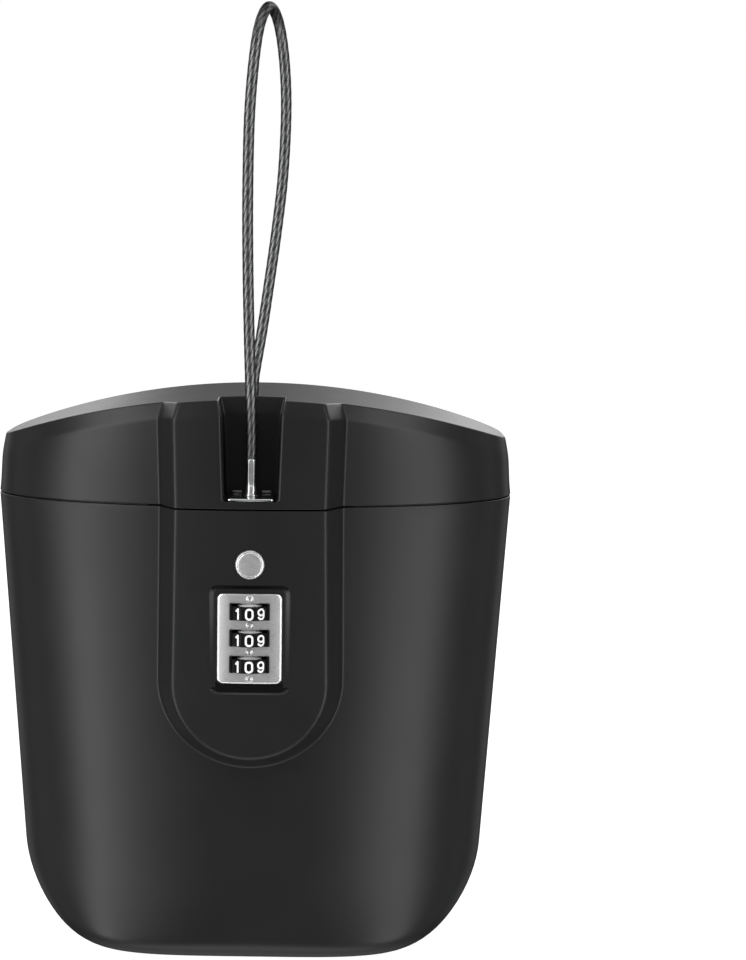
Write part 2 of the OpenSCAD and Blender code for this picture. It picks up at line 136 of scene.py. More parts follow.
def plastic(name, base, rough, grain=0.25, spec=0.5, fine=4200.0):
    """Moulded plastic with a fine spark-eroded grain, faint flow and handling marks."""
    m, nt, b, tc = new_mat(name)
    flow = noise(nt, tc, 38.0, 3.0, 0.55)
    marks = noise(nt, tc, 900.0, 2.0, 0.6)
    col = tint(nt, spread(nt, flow, 0, 1), base, [1.16 * c for c in base])
    nt.links.new(col, b.inputs["Base Color"])
    add = nt.nodes.new("ShaderNodeMath")
    add.operation = "ADD"
    nt.links.new(spread(nt, flow, rough - 0.015, rough + 0.015), add.inputs[0])
    nt.links.new(spread(nt, marks, -0.02, 0.02), add.inputs[1])
    nt.links.new(add.outputs[0], b.inputs["Roughness"])
    b.inputs["Specular IOR Level"].default_value = spec
    bump(nt, b, [(noise(nt, tc, fine, 1.0, 0.5), grain, 0.00002),
                 (flow, 0.05, 0.0004)])
    return m


def metal(name, base, rough, streak=None, grain=0.1, dark=0.85):
    """Bright metal with polishing or brushing lines along the long side of streak."""
    m, nt, b, tc = new_mat(name)
    b.inputs["Metallic"].default_value = 1.0
    lines = noise(nt, tc, 1.0, 3.0, 0.6, streak or (2600, 2600, 2600))
    cloud = noise(nt, tc, 160.0, 2.0, 0.5)
    col = tint(nt, spread(nt, lines, 0, 1), [dark * c for c in base], base)
    nt.links.new(col, b.inputs["Base Color"])
    add = nt.nodes.new("ShaderNodeMath")
    add.operation = "ADD"
    nt.links.new(spread(nt, lines, rough * 0.8, rough * 1.2), add.inputs[0])
    nt.links.new(spread(nt, cloud, -0.02, 0.02), add.inputs[1])
    nt.links.new(add.outputs[0], b.inputs["Roughness"])
    bump(nt, b, [(lines, grain, 0.00001)])
    return m


CASE = plastic("case_plastic", (0.0080, 0.0081, 0.0083), 0.38, spec=0.28)
LID = plastic("lid_plastic", (0.0080, 0.0081, 0.0083), 0.345, spec=0.28)
INNER = plastic("inner_plastic", (0.007, 0.0071, 0.0073), 0.5, 0.35, spec=0.28)
HOUSING = plastic("housing_plastic", (0.006, 0.006, 0.0062), 0.5, 0.3, spec=0.28)
DIAL = plastic("dial_plastic", (0.0022, 0.0022, 0.0023), 0.45, 0.1, spec=0.12)
DIGIT = plastic("digit_paint", (0.88, 0.88, 0.87), 0.5, 0.15)
CHROME = metal("chrome", (0.80, 0.81, 0.82), 0.14)
STEEL = metal("plain_steel", (0.56, 0.565, 0.57), 0.3, (300, 300, 2600), 0.12)


def rope_steel():
    """Bright wire strands under a clear coat, with painted shade darkening the gaps between the strands."""
    m, nt, b, tc = new_mat("cable_steel")
    b.inputs["Metallic"].default_value = 1.0
    shade_attr = nt.nodes.new("ShaderNodeAttribute")
    shade_attr.attribute_name = "painted_strand_shade"
    wire = noise(nt, tc, 900.0, 2.0, 0.6)
    bright = tint(nt, spread(nt, wire, 0, 1), (0.10, 0.101, 0.103), (0.185, 0.186, 0.188))
    mix = nt.nodes.new("ShaderNodeMix")
    mix.data_type = "RGBA"
    nt.links.new(shade_attr.outputs["Fac"], mix.inputs["Factor"])
    nt.links.new(bright, mix.inputs["A"])
    # near-black colour in the gaps between strands: painted shade
    mix.inputs["B"].default_value = (0.042, 0.042, 0.043, 1)
    nt.links.new(mix.outputs["Result"], b.inputs["Base Color"])
    nt.links.new(spread(nt, wire, 0.34, 0.42), b.inputs["Roughness"])
    b.inputs["Specular Tint"].default_value = (0.18, 0.18, 0.18, 1)
    b.inputs["Coat Weight"].default_value = 0.15
    b.inputs["Coat Roughness"].default_value = 0.2
    return m


WIRE = rope_steel()
SATIN = metal("button_metal", (0.92, 0.92, 0.915), 0.33, (500, 3000, 9000), 0.15)
BRUSHED = metal("bezel_metal", (0.90, 0.90, 0.895), 0.33, (400, 4000, 7000), 0.03, 0.95)
RIVET = metal("rivet_metal", (0.86, 0.86, 0.855), 0.36, (300, 300, 300), 0.0)
FERRULE = metal("ferrule_metal", (0.84, 0.845, 0.85), 0.22, (300, 300, 300), 0.0)
STAPLE = metal("staple_metal", (0.24, 0.24, 0.245), 0.34)
# near-black plastic laid on faces to paint shade where the lock's recess and the windows fall into shadow
SHADE_BLACK = plastic("shadow_plastic", (0.0022, 0.0022, 0.0023), 0.55, 0.2, spec=0.08)
HUB = metal("hub_metal", (0.62, 0.62, 0.615), 0.5, (900, 900, 900), 0.1)
HUB.node_tree.nodes["Principled BSDF"].inputs["Metallic"].default_value = 0.3


# ------------------------------------------------------------------ mesh tools
def inside(p, loop):
    x, y = p[:, 0], p[:, 1]
    c = np.zeros(len(p), bool)
    n = len(loop)
    for i in range(n):
        x1, y1 = loop[i]
        x2, y2 = loop[(i + 1) % n]
        if y1 == y2:
            continue
        m = (y1 > y) != (y2 > y)
        c ^= m & (x < (x2 - x1) * (y - y1) / (y2 - y1) + x1)
    return c


class Build:
    """Points and faces of one piece, in millimetres."""

    def __init__(self):
        self.v, self.f = [], []

    def add(self, pts):
        n = len(self.v)
        self.v += [(float(p[0]), float(p[1]), float(p[2])) for p in pts]
        return list(range(n, n + len(pts)))

    def band(self, a, b, closed=True):
        n = len(a)
        for i in range(n if closed else n - 1):
            j = (i + 1) % n
            f = []
            for k in (a[i], a[j], b[j], b[i]):
                if k not in f:
                    f.append(k)
            if len(f) > 2:
                self.f.append(tuple(f))

    def fill(self, outer, holes=(), step=None, axes=(0, 1), lift=None, clear=0.6,
             edges=None, keep=None, grid=None):
        """Triangles between loops, with inner points step apart put on the surface by lift."""
        ids, ed, loops = [], [], []
        for loop in [outer, *holes]:
            b = len(ids)
            ids += list(loop)
            loops.append(np.array([[self.v[i][axes[0]], self.v[i][axes[1]]] for i in loop]))
            if edges is None:
                ed += [(b + i, b + (i + 1) % len(loop)) for i in range(len(loop))]
        if edges is not None:
            place = {i: n for n, i in enumerate(ids)}
            ed = [(place[a], place[b]) for a, b in edges]
        pts = np.array([[self.v[i][axes[0]], self.v[i][axes[1]]] for i in ids])

        def within(p):
            if keep is not None:
                return keep(p)
            w = inside(p, loops[0])
            for h in loops[1:]:
                w &= ~inside(p, h)
            return w

        if step or grid is not None:
            if grid is None:
                lo, hi = pts.min(0), pts.max(0)
                gx = np.arange(lo[0] + step / 2, hi[0], step)
                gy = np.arange(lo[1] + step / 2, hi[1], step * 0.866)
                grid = np.array([(x + (step / 2 if k % 2 else 0), y)
                                 for k, y in enumerate(gy) for x in gx])
            grid = grid[within(grid)]
            near = np.ones(len(grid), bool)
            for q in pts:
                near &= np.hypot(grid[:, 0] - q[0], grid[:, 1] - q[1]) > clear * (step or 1)
            grid = grid[near]
            ids += self.add([lift(a, b) for a, b in grid])
            pts = np.vstack([pts, grid]) if len(grid) else pts
        out = delaunay_2d_cdt([Vector(p) for p in pts], ed, [], 0, 1e-6, True)
        vs, tris, orig = np.array([tuple(v) for v in out[0]]), out[2], out[3]
        cen = np.array([vs[list(t)].mean(0) for t in tris])
        kept = [t for t, k in zip(tris, within(cen)) if k]
        border = {(orig[e[0]][0], orig[e[1]][0]) for e in out[1] if orig[e[0]] and orig[e[1]]}
        border = {tuple(sorted(e)) for e in border} & {tuple(sorted(e)) for e in ed}
        while True:              # flat slivers left outside a nearly straight side
            count = {}
            for t in kept:
                for a, c in zip(t, t[1:] + t[:1]):
                    k = tuple(sorted((a, c)))
                    count[k] = count.get(k, 0) + 1

            def free(t):
                return any(count[tuple(sorted(e))] == 1
                           and tuple(sorted((orig[e[0]][0], orig[e[1]][0]))) not in border
                           for e in zip(t, t[1:] + t[:1]) if orig[e[0]] and orig[e[1]])

            bad = [t for t in kept if free(t)]
            if not bad:
                break
            kept = [t for t in kept if t not in bad]
        for t in kept:
            f = []
            for i in t:
                if not orig[i]:
                    raise RuntimeError("crossing edges in a fill")
                f.append(ids[orig[i][0]])
            if len(set(f)) == 3:
                self.f.append(tuple(f))

    def object(self, name, mat, angle=32, merge=1e-7):
        me = bpy.data.meshes.new(name)
        me.from_pydata([(x * MM, y * MM, z * MM) for x, y, z in self.v], [], self.f)
        bm = bmesh.new()
        bm.from_mesh(me)
        loose = [v for v in bm.verts if not v.link_faces]
        bmesh.ops.delete(bm, geom=loose, context="VERTS")
        bmesh.ops.remove_doubles(bm, verts=bm.verts, dist=merge)
        bmesh.ops.recalc_face_normals(bm, faces=bm.faces)
        open_edges = sum(1 for e in bm.edges if len(e.link_faces) != 2)
        bm.to_mesh(me)
        bm.free()
        me.materials.append(mat)
        o = bpy.data.objects.new(name, me)
        scene.collection.objects.link(o)
        shade(o, angle)
        print("piece", name, len(me.vertices), "points", open_edges, "open edges")
        return o


def shade(o, angle=32):
    me = o.data
    me.polygons.foreach_set("use_smooth", [True] * len(me.polygons))
    me.set_sharp_from_angle(angle=rad(angle))
    me.update()


def boolean(o, cutters, op, angle=32):
    """Joins the closed cutters to o, or takes them away, and removes them."""
    for c in cutters:
        m = o.modifiers.new("cut", "BOOLEAN")
        m.operation = op
        m.object = c
        m.solver = "MANIFOLD"
    dg = bpy.context.evaluated_depsgraph_get()
    me = bpy.data.meshes.new_from_object(o.evaluated_get(dg))
    if len(me.polygons) < 10:
        print("boolean fell back", o.name, op)
        for m in o.modifiers:
            m.solver = "EXACT"
        dg = bpy.context.evaluated_depsgraph_get()
        me = bpy.data.meshes.new_from_object(o.evaluated_get(dg))
    o.modifiers.clear()
    me.name = o.name
    o.data = me
    for c in cutters:
        bpy.data.objects.remove(c)
    shade(o, angle)
    return o


def lathe(name, mat, profile, centre, axis="z", n=96, angle=32):
    """Profile of (radius, height) pairs turned about an axis through centre."""
    b = Build()
    rings = []
    for r, h in profile:
        if r < 1e-6:
            pts = [(0.0, 0.0, h)]
        else:
            pts = [(r * math.cos(2 * math.pi * i / n), r * math.sin(2 * math.pi * i / n), h)
                   for i in range(n)]
        if axis == "y":      # height runs towards the front
            pts = [(x, -h2, y) for x, y, h2 in pts]
        elif axis == "x":
            pts = [(h2, x, y) for x, y, h2 in pts]
        rings.append(b.add([(x + centre[0], y + centre[1], z + centre[2]) for x, y, z in pts]))
    for a, c in zip(rings, rings[1:]):
        if len(a) == 1 and len(c) == 1:
            continue
        if len(a) == 1:
            b.f += [(a[0], c[i], c[(i + 1) % n]) for i in range(n)]
        elif len(c) == 1:
            b.f += [(a[i], a[(i + 1) % n], c[0]) for i in range(n)]
        else:
            b.band(a, c)
    if len(rings[0]) > 1 and len(rings[-1]) > 1:
        b.band(rings[-1], rings[0])
    return b.object(name, mat, angle)


def rounded(profile, r, steps=3, closed=False):
    """A profile with its corners rounded by r (a number, or one for each point)."""
    n = len(profile)
    rs = r if hasattr(r, "__len__") else [r] * n
    out = []
    for i in range(n):
        if not closed and i in (0, n - 1) or rs[i] <= 0:
            out.append(tuple(profile[i]))
            continue
        p = np.array(profile[i], float)
        a = np.array(profile[i - 1], float) - p
        c = np.array(profile[(i + 1) % n], float) - p
        la, lc = np.linalg.norm(a), np.linalg.norm(c)
        a, c = a / la, c / lc
        half = math.acos(max(-1, min(1, float(a @ c)))) / 2
        if half > rad(89):
            out.append(tuple(profile[i]))
            continue
        t = min(rs[i] / math.tan(half), 0.45 * la, 0.45 * lc)
        rr = t * math.tan(half)
        mid = (a + c) / np.linalg.norm(a + c)
        cen = p + mid * rr / math.sin(half)
        s, e = p + a * t, p + c * t
        for k in range(steps + 1):
            u = k / steps
            d = (s - cen) * (1 - u) + (e - cen) * u
            out.append(tuple(cen + d / np.linalg.norm(d) * rr))
    return out


def offset_in(loop, closed=True):
    """Unit normals in plan, pointing into a loop that runs clockwise or not."""
    p = np.array(loop)[:, :2]
    area = 0.5 * np.sum(p[:, 0] * np.roll(p[:, 1], -1) - np.roll(p[:, 0], -1) * p[:, 1])
    d = np.roll(p, -1, 0) - p
    ln = np.hypot(d[:, 0], d[:, 1])[:, None]
    d = d / np.maximum(ln, 1e-9)
    nn = np.stack([-d[:, 1], d[:, 0]], 1) * (1 if area > 0 else -1)
    m = nn + np.roll(nn, 1, 0)
    m = m / np.maximum(np.hypot(m[:, 0], m[:, 1])[:, None], 1e-6)
    c = np.clip(np.sum(m * nn, 1), 0.6, 1)[:, None]
    return m / c


# ------------------------------------------------------------------ cable
ROUTE = [(0, -48.5, 181.7), (0, -48.6, 192), (-0.4, -49, 206),
         (-1.0, -50, 225), (-1.6, -51, 250), (-1.8, -52, 275), (-1.4, -52.8, 300),
         (-0.2, -52, 318), (1.4, -48, 331), (3.4, -42, 338), (5.4, -35, 340),
         (7.6, -28, 336.5), (9.4, -22.5, 328), (10.6, -19.5, 315),
         (10.8, -18.6, 300), (9.8, -19, 280), (7.6, -20.6, 260),
         (5.2, -22.6, 242), (2.8, -24.6, 225), (0.8, -25.8, 213), (0, -26, 206),
         (0, -26, 190), (0, -26, 174.3)]


def smooth_route(pts, step=0.8):
    p = np.array(pts, float)
    out = []
    for i in range(len(p) - 1):
        a, b, c, d = p[max(0, i - 1)], p[i], p[i + 1], p[min(len(p) - 1, i + 2)]
        m0, m1 = (c - a) / 2, (d - b) / 2
        n = max(2, int(round(np.linalg.norm(c - b) / step)))
        for k in range(n):
            t = k / n
            out.append((2 * t**3 - 3 * t * t + 1) * b + (t**3 - 2 * t * t + t) * m0
                       + (3 * t * t - 2 * t**3) * c + (t**3 - t * t) * m1)
    out.append(p[-1])
    q = np.array(out)
    for _ in range(6):      # even out the curvature between the points
        q[3:-3] = (q[2:-4] + q[3:-3] * 2 + q[4:-2]) / 4
    return q


def make_cable():
    q = smooth_route(ROUTE, 0.75)
    seg = np.linalg.norm(np.diff(q, axis=0), axis=1)
    length = float(seg.sum())
    dist = np.concatenate([[0], np.cumsum(seg)])
    tan = np.gradient(q, axis=0)
    tan /= np.linalg.norm(tan, axis=1)[:, None]
    u = np.array([1.0, 0, 0])
    u -= tan[0] * (u @ tan[0])
    u /= np.linalg.norm(u)
    radius, lay, strands = 1.95, 26.0, 6
    th, rr, gap_shade = [], [], []
    per = 16
    for s in range(strands):
        for k in range(per):
            f = (k + 0.5) / per * 2 - 1                     # across the strand, -1 to 1
            lobe = math.sqrt(max(0.0, 1 - (0.9 * f) ** 2))
            th.append(2 * math.pi * (s + (k + 0.5) / per) / strands)
            rr.append(radius - 0.12 * (1 - lobe))
            # painted shade: how far the colour darkens towards the gaps between strands
            gap_shade.append(min(1.0, max(0.0, (abs(f) - 0.5) / 0.45)))
    th, rr = np.array(th), np.array(rr)
    b = Build()
    prev = None
    first = None
    for i in range(len(q)):
        t = tan[i]
        u = u - t * (u @ t)
        u /= np.linalg.norm(u)
        v = np.cross(t, u)
        a = th + 2 * math.pi * dist[i] / lay
        ring = q[i] + rr[:, None] * (np.cos(a)[:, None] * u + np.sin(a)[:, None] * v)
        idx = b.add(ring)
        if prev is None:
            first = idx
        else:
            b.band(prev, idx)
        prev = idx
    for end, p in ((first, q[0]), (prev, q[-1])):
        c = b.add([p])[0]
        b.f += [(end[i], end[(i + 1) % len(end)], c) for i in range(len(end))]
    o = b.object("cable_rope", WIRE, 50)
    # store the painted shade of the strand gaps for the cable material
    gap_shade_layer = o.data.attributes.new("painted_strand_shade", "FLOAT", "POINT")
    vals = np.zeros(len(o.data.vertices), np.float32)
    full = np.tile(np.array(gap_shade, np.float32), len(q))
    vals[:len(full)] = full
    gap_shade_layer.data.foreach_set("value", vals)
    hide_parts("steel_cable")
    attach(o, "cable")
    return o, q, length


cable, cable_line, cable_len = make_cable()
print("cable length mm", round(cable_len, 1))


def place(o, body, slot=None, *nodes):
    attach(o, body)
    if nodes:
        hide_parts(*nodes)
    return o


def make_ferrule():
    """Collar and flange turned, the sleeve above pressed to a hexagon."""
    b = Build()
    n = 96
    prof = rounded([(0, 168.5), (2.7, 168.5), (2.7, 169.25), (2.3, 169.4), (2.3, 172.1), (2.05, 172.4),
                    (2.05, 181.4), (1.8, 181.7), (0, 181.7)],
                   [0, 0.2, 0.2, 0.1, 0.25, 0.1, 0.2, 0.1, 0], 4)
    more = []
    for (r0, z0), (r1, z1) in zip(prof, prof[1:]):
        m = 6 if z1 - z0 > 4 else 1
        more += [(r0 + (r1 - r0) * k / m, z0 + (z1 - z0) * k / m) for k in range(m)]
    more.append(prof[-1])
    rings = []
    for r, z in more:
        if r < 1e-6:
            rings.append(b.add([(0, STUD_Y, z)]))
            continue
        press = min(1.0, max(0.0, (z - 172.6) / 0.5)) * min(1.0, max(0.0, (181.2 - z) / 0.3))
        ring = []
        for k in range(n):
            t = 360.0 * k / n
            off = min(1.0, abs((t - 90 + 30) % 60 - 30) / 30)      # 0 mid flat, 1 edge
            flat = min(0.978, math.cos(rad(30)) / math.cos(rad(30 * off)))
            rr = r * (1 + press * (flat / 0.978 - 1))
            ring.append((rr * math.cos(rad(t)), STUD_Y + rr * math.sin(rad(t)), z))
        rings.append(b.add(ring))
    for p, q in zip(rings, rings[1:]):
        if len(p) == 1:
            b.f += [(p[0], q[k], q[(k + 1) % n]) for k in range(n)]
        elif len(q) == 1:
            b.f += [(p[k], q[0], p[(k + 1) % n]) for k in range(n)]
        else:
            b.band(p, q)
    return b.object("ferrule", FERRULE, 34)


ferrule = make_ferrule()
place(ferrule, "cable", "chrome", "cable_ferrule")
stud = lathe("locking_pin", CHROME, rounded(
    [(0, 155.7), (1.2, 155.7), (1.9, 156.6), (1.9, 158.1), (1.2, 158.1), (1.2, 159.7),
     (1.9, 159.7), (1.9, 168.5), (0, 168.5)],
    [0, 0.3, 0.3, 0.12, 0.1, 0.1, 0.12, 0, 0]), (0, STUD_Y, 0))
place(stud, "cable", "chrome", "locking_stud")
stop = lathe("captive_stop", STEEL, rounded(
    [(0, 167.3), (2.9, 167.3), (3.3, 167.8), (3.3, 173.8), (2.9, 174.3), (0, 174.3)],
    [0, 0.2, 0.2, 0.2, 0.2, 0]), (0, EXIT_Y, 0))
place(stop, "cable", "plain_steel", "stop_sleeve")


# ------------------------------------------------------------------ outlines
def roof(x):
    return 202.8 - 266.0 + np.sqrt(266.0 ** 2 - np.asarray(x, float) ** 2)


BAND_H, BAND_IN = 5.6, 2.7


def inset(h):
    """How far the sloped band under the roof's edge sets the skin back, h above the bend."""
    return BAND_IN / BAND_H * (h + np.sqrt(h * h + 0.3)) / 2


def rear_angles(n, w, r, power=6.0):
    """Angles of a rear quarter, evenly spaced along it."""
    t = np.linspace(0, math.pi / 2, 4001)
    x = w * np.cos(t) ** (2 / power)
    y = r * np.sin(t) ** (2 / power)
    s = np.concatenate([[0], np.cumsum(np.hypot(np.diff(x), np.diff(y)))])
    return np.interp(np.linspace(0, s[-1], n + 1), s, t)


REAR = rear_angles(44, 95, 42)
REAR[-1] = math.pi / 2
LT3 = math.tan(rad(3.1))


def lid_sizes(z):
    full = 0.74 * np.exp(-((z - PART - 14.5) / 8.0) ** 2)      # the sides swell a little
    return (W0 - (z - PART) * math.tan(rad(7)) + full, F0 - (z - PART) * LT3,
            R0 - (z - PART) * math.tan(rad(1)))


def settle(x, zf, place):
    """Points whose height depends on x and whose x depends on the height."""
    x = np.asarray(x, float)
    for _ in range(5):
        z = zf(x)
        d = inset(z - (roof(x) - BAND_H))
        px, py = place(z, d)
        x = px
    return np.stack([px, py, z], 1)


def face_y(x, z, d):
    return FACE_Y + (z - PART) * LT3 + FACE_R - np.sqrt(FACE_R ** 2 - x * x) + d


def strip_x(y, d):
    return FOOT + (y + 42.0) * SLOPE - math.hypot(1, SLOPE) * d


def channel_half(z, d):
    low = np.clip(CHAN_R - (z - CHAN_Z), 0, CHAN_R)
    return 9.5 + np.clip((z - CHAN_Z) / 29.7, 0, 1) + 1.3 * d / BAND_IN \
        - CHAN_R + np.sqrt(CHAN_R ** 2 - low ** 2)


def channel_back(z, d):
    return -37.2 + 0.8 * np.clip((z - CHAN_Z) / 29.7, 0, 1) + 2.0 * d / BAND_IN


R_CORNER, R_EDGE, R_CONC, R_FOOT = 2.1, 1.1, 0.9, 1.4
CHAN_R = 1.3                      # rounding between the channel's floor and its sides
CHAN_0 = 9.5 - CHAN_R


def fillet(p, a, c, r, steps):
    """Arc between directions a and c that leave p, as points."""
    a = a / np.linalg.norm(a)
    c = c / np.linalg.norm(c)
    half = math.acos(float(np.clip(a @ c, -1, 1))) / 2
    t = r / math.tan(half)
    mid = (a + c) / np.linalg.norm(a + c)
    cen = p + mid * r / math.sin(half)
    s, e = p + a * t, p + c * t
    out = []
    for k in range(steps + 1):
        u = k / steps
        d = (s - cen) * (1 - u) + (e - cen) * u
        out.append(cen + d / np.linalg.norm(d) * r)
    return np.array(out)


def lid_half(zf, chan=True, drop=None):
    """Right half of the lid's plan outline at the heights zf(x). It returns the points, and
    for each of them how steep the band is there (0 upright, 1 full)."""
    parts, beta = [], []

    def put(p, b):
        parts.append(p)
        beta.append(np.full(len(p), b) if np.isscalar(b) else b)

    if chan:
        u = np.linspace(0, 1, 7)[:-1]
        put(settle(u * 9, zf, lambda z, d: (u * (channel_half(z, d) - R_CONC),
                                            channel_back(z, d))), 0.75)
        t = np.linspace(math.pi / 2, 0, 6)[:-1]
        put(settle(9 + 0 * t, zf, lambda z, d: (
            channel_half(z, d) - R_CONC + R_CONC * np.cos(t),
            channel_back(z, d) - R_CONC + R_CONC * np.sin(t))), 0.6)
        u = np.linspace(0, 1, 15)[:-1]

        def side(z, d):
            c = channel_half(z, d)
            y0, y1 = channel_back(z, d) - R_CONC, face_y(c + R_EDGE, z, d) + R_EDGE
            return c + 0 * u, y0 + (y1 - y0) * u
        put(settle(10 + 0 * u, zf, side), 0.5)
        t = np.linspace(0, math.pi / 2, 6)[:-1]
        put(settle(10 + 0 * t, zf, lambda z, d: (
            channel_half(z, d) + R_EDGE - R_EDGE * np.cos(t),
            face_y(channel_half(z, d) + R_EDGE, z, d) + R_EDGE - R_EDGE * np.sin(t))), 0.8)
    else:
        u = np.linspace(0, 1, 8)[:-1]
        p = settle(u * 9, zf, lambda z, d: (u * (CHAN_0 + R_EDGE), face_y(u * (CHAN_0 + R_EDGE), z, d)))
        if drop:
            p[:, 1] += drop * (1 - u ** 6)
        put(p, 1.0)
    # the strip's corner with the face
    x = 25.0
    for _ in range(6):
        z = float(zf(np.array([x]))[0])
        d = float(inset(z - (roof(x) - BAND_H)))
        x = float(strip_x(face_y(x, z, d), d))
    cor = np.array([x, float(face_y(x, z, d))])
    zc, dc = z, d
    tan_f = np.array([-1.0, -x / math.sqrt(FACE_R ** 2 - x * x)])
    tan_s = np.array([SLOPE, 1.0])
    arc = fillet(cor, tan_f, tan_s, R_CORNER, 6)
    c0 = float(channel_half(zc, dc)) + R_EDGE if chan else CHAN_0 + R_EDGE
    u = np.linspace(0, 1, 9)[:-1]
    # a close pair of points beside each rounding keeps the flat parts flat
    u[1] = 0.06
    xs = lambda z, d: (channel_half(z, d) if chan else CHAN_0) + R_EDGE
    put(settle(15 + 0 * u, zf, lambda z, d: (
        xs(z, d) + (arc[0][0] - 0.5 - xs(z, d)) * u,
        face_y(xs(z, d) + (arc[0][0] - 0.5 - xs(z, d)) * u, z, d))), 1.0)
    put(settle(np.array([arc[0][0] - 0.5]), zf,
               lambda z, d: (np.array([arc[0][0] - 0.5]), face_y(arc[0][0] - 0.5, z, d))), 1.0)
    az = zf(arc[:, 0])
    put(np.column_stack([arc, az]), 1.0)
    # the strip's foot on the skin
    lo, hi = rad(55), rad(85)
    for _ in range(40):
        a = (lo + hi) / 2
        x = 32.0
        for _ in range(3):
            z = float(zf(np.array([x]))[0])
            d = float(inset(z - (roof(x) - BAND_H)))
            w, f, r = lid_sizes(z)
            x = w * math.cos(a)
        y = YC - (f - d * min(1, 2 * math.sin(a))) * math.sin(a)
        if x > strip_x(y, d):
            lo = a
        else:
            hi = a
    foot = np.array([x, y])
    fd = d
    s0 = arc[-1]
    e = 1e-3
    t_s = np.array([w * math.cos(a - e), YC - (f - fd * min(1, 2 * math.sin(a - e))) * math.sin(a - e)]) - foot
    t_s /= np.linalg.norm(t_s)
    bend = fillet(foot, -tan_s, t_s, R_FOOT, 8)
    u = np.linspace(0, 1, 8)[1:]
    u[0] = 0.06
    u[-1] = 0.96
    line = s0 + (bend[0] - s0) * u[:, None]
    put(np.column_stack([line, zf(line[:, 0])]), 1.0)
    put(np.column_stack([bend, zf(bend[:, 0])]), 1.0)
    # the skin curves a little, so the first point after the bend takes up the difference
    n_foot = R_FOOT / math.tan(math.acos(float(np.clip(-tan_s @ t_s / np.linalg.norm(tan_s), -1, 1))) / 2)
    # the skin from the lip round to the widest line
    a1 = a - n_foot / math.hypot(w * math.sin(a), f * math.cos(a))
    u = np.linspace(0, 1, 37)[1:]
    u[0] = 0.008
    aa = a1 * (1 - u)
    put(settle(w * np.cos(aa), zf, lambda z, d: (
        lid_sizes(z)[0] * np.cos(aa),
        YC - (lid_sizes(z)[1] - d * np.minimum(1, 2 * np.sin(aa))) * np.sin(aa))),
        np.minimum(1, 2 * np.sin(aa)))
    ra = REAR[1:]
    cx = np.cos(ra) ** (1 / 3)
    cx[-1] = 0
    put(settle(90 * cx, zf, lambda z, d: (lid_sizes(z)[0] * cx,
                                          YC + lid_sizes(z)[2] * np.sin(ra) ** (1 / 3))), 0.0)
    return np.vstack(parts), np.concatenate(beta)


def mirror(half):
    """Whole ring from its right half, whose first and last points are on the middle."""
    left = half[1:-1][::-1].copy()
    left[:, 0] *= -1
    return np.vstack([half, left])


def circle(cx, cy, r, n=48, start=0.0):
    return [(cx + r * math.cos(2 * math.pi * i / n + start),
             cy + r * math.sin(2 * math.pi * i / n + start)) for i in range(n)]


def cyl(name, r, x0, x1, y, z, n=64, ch=0.3):
    """Round bar along X, with its ends' edges broken."""
    return lathe(name, LID, [(0, x0), (r - ch, x0), (r, x0 + ch), (r, x1 - ch),
                             (r - ch, x1), (0, x1)], (0, y, z), "x", n)


def block(name, lo, hi, r=0.0, mat=None):
    """Box with its upright edges and rims rounded."""
    b = Build()
    x0, y0, z0 = lo
    x1, y1, z1 = hi
    base = rounded([(x0, y0), (x1, y0), (x1, y1), (x0, y1)], r, 3, True) if r else \
        [(x0, y0), (x1, y0), (x1, y1), (x0, y1)]
    n_in = offset_in([(x, y, 0) for x, y in base])
    rings = []
    rim = [(0.0, 0.0)] if not r else [(r * 0.6 * (1 - math.cos(t)), r * 0.6 * (1 - math.sin(t)))
                                      for t in (0, rad(30), rad(60), rad(90))][::-1]
    if r:
        rim = [(r * 0.6 * (1 - math.sin(t)), r * 0.6 * (1 - math.cos(t))) for t in
               (0, rad(30), rad(60), rad(90))]
    for d, h in rim:
        rings.append(b.add([(p[0] + n[0] * d, p[1] + n[1] * d, z0 + h)
                            for p, n in zip(base, n_in)]))
    for d, h in reversed(rim):
        rings.append(b.add([(p[0] + n[0] * d, p[1] + n[1] * d, z1 - h)
                            for p, n in zip(base, n_in)]))
    for a, c in zip(rings, rings[1:]):
        b.band(a, c)
    b.f.append(tuple(rings[0]))
    b.f.append(tuple(rings[-1]))
    return b.object(name, mat or LID)


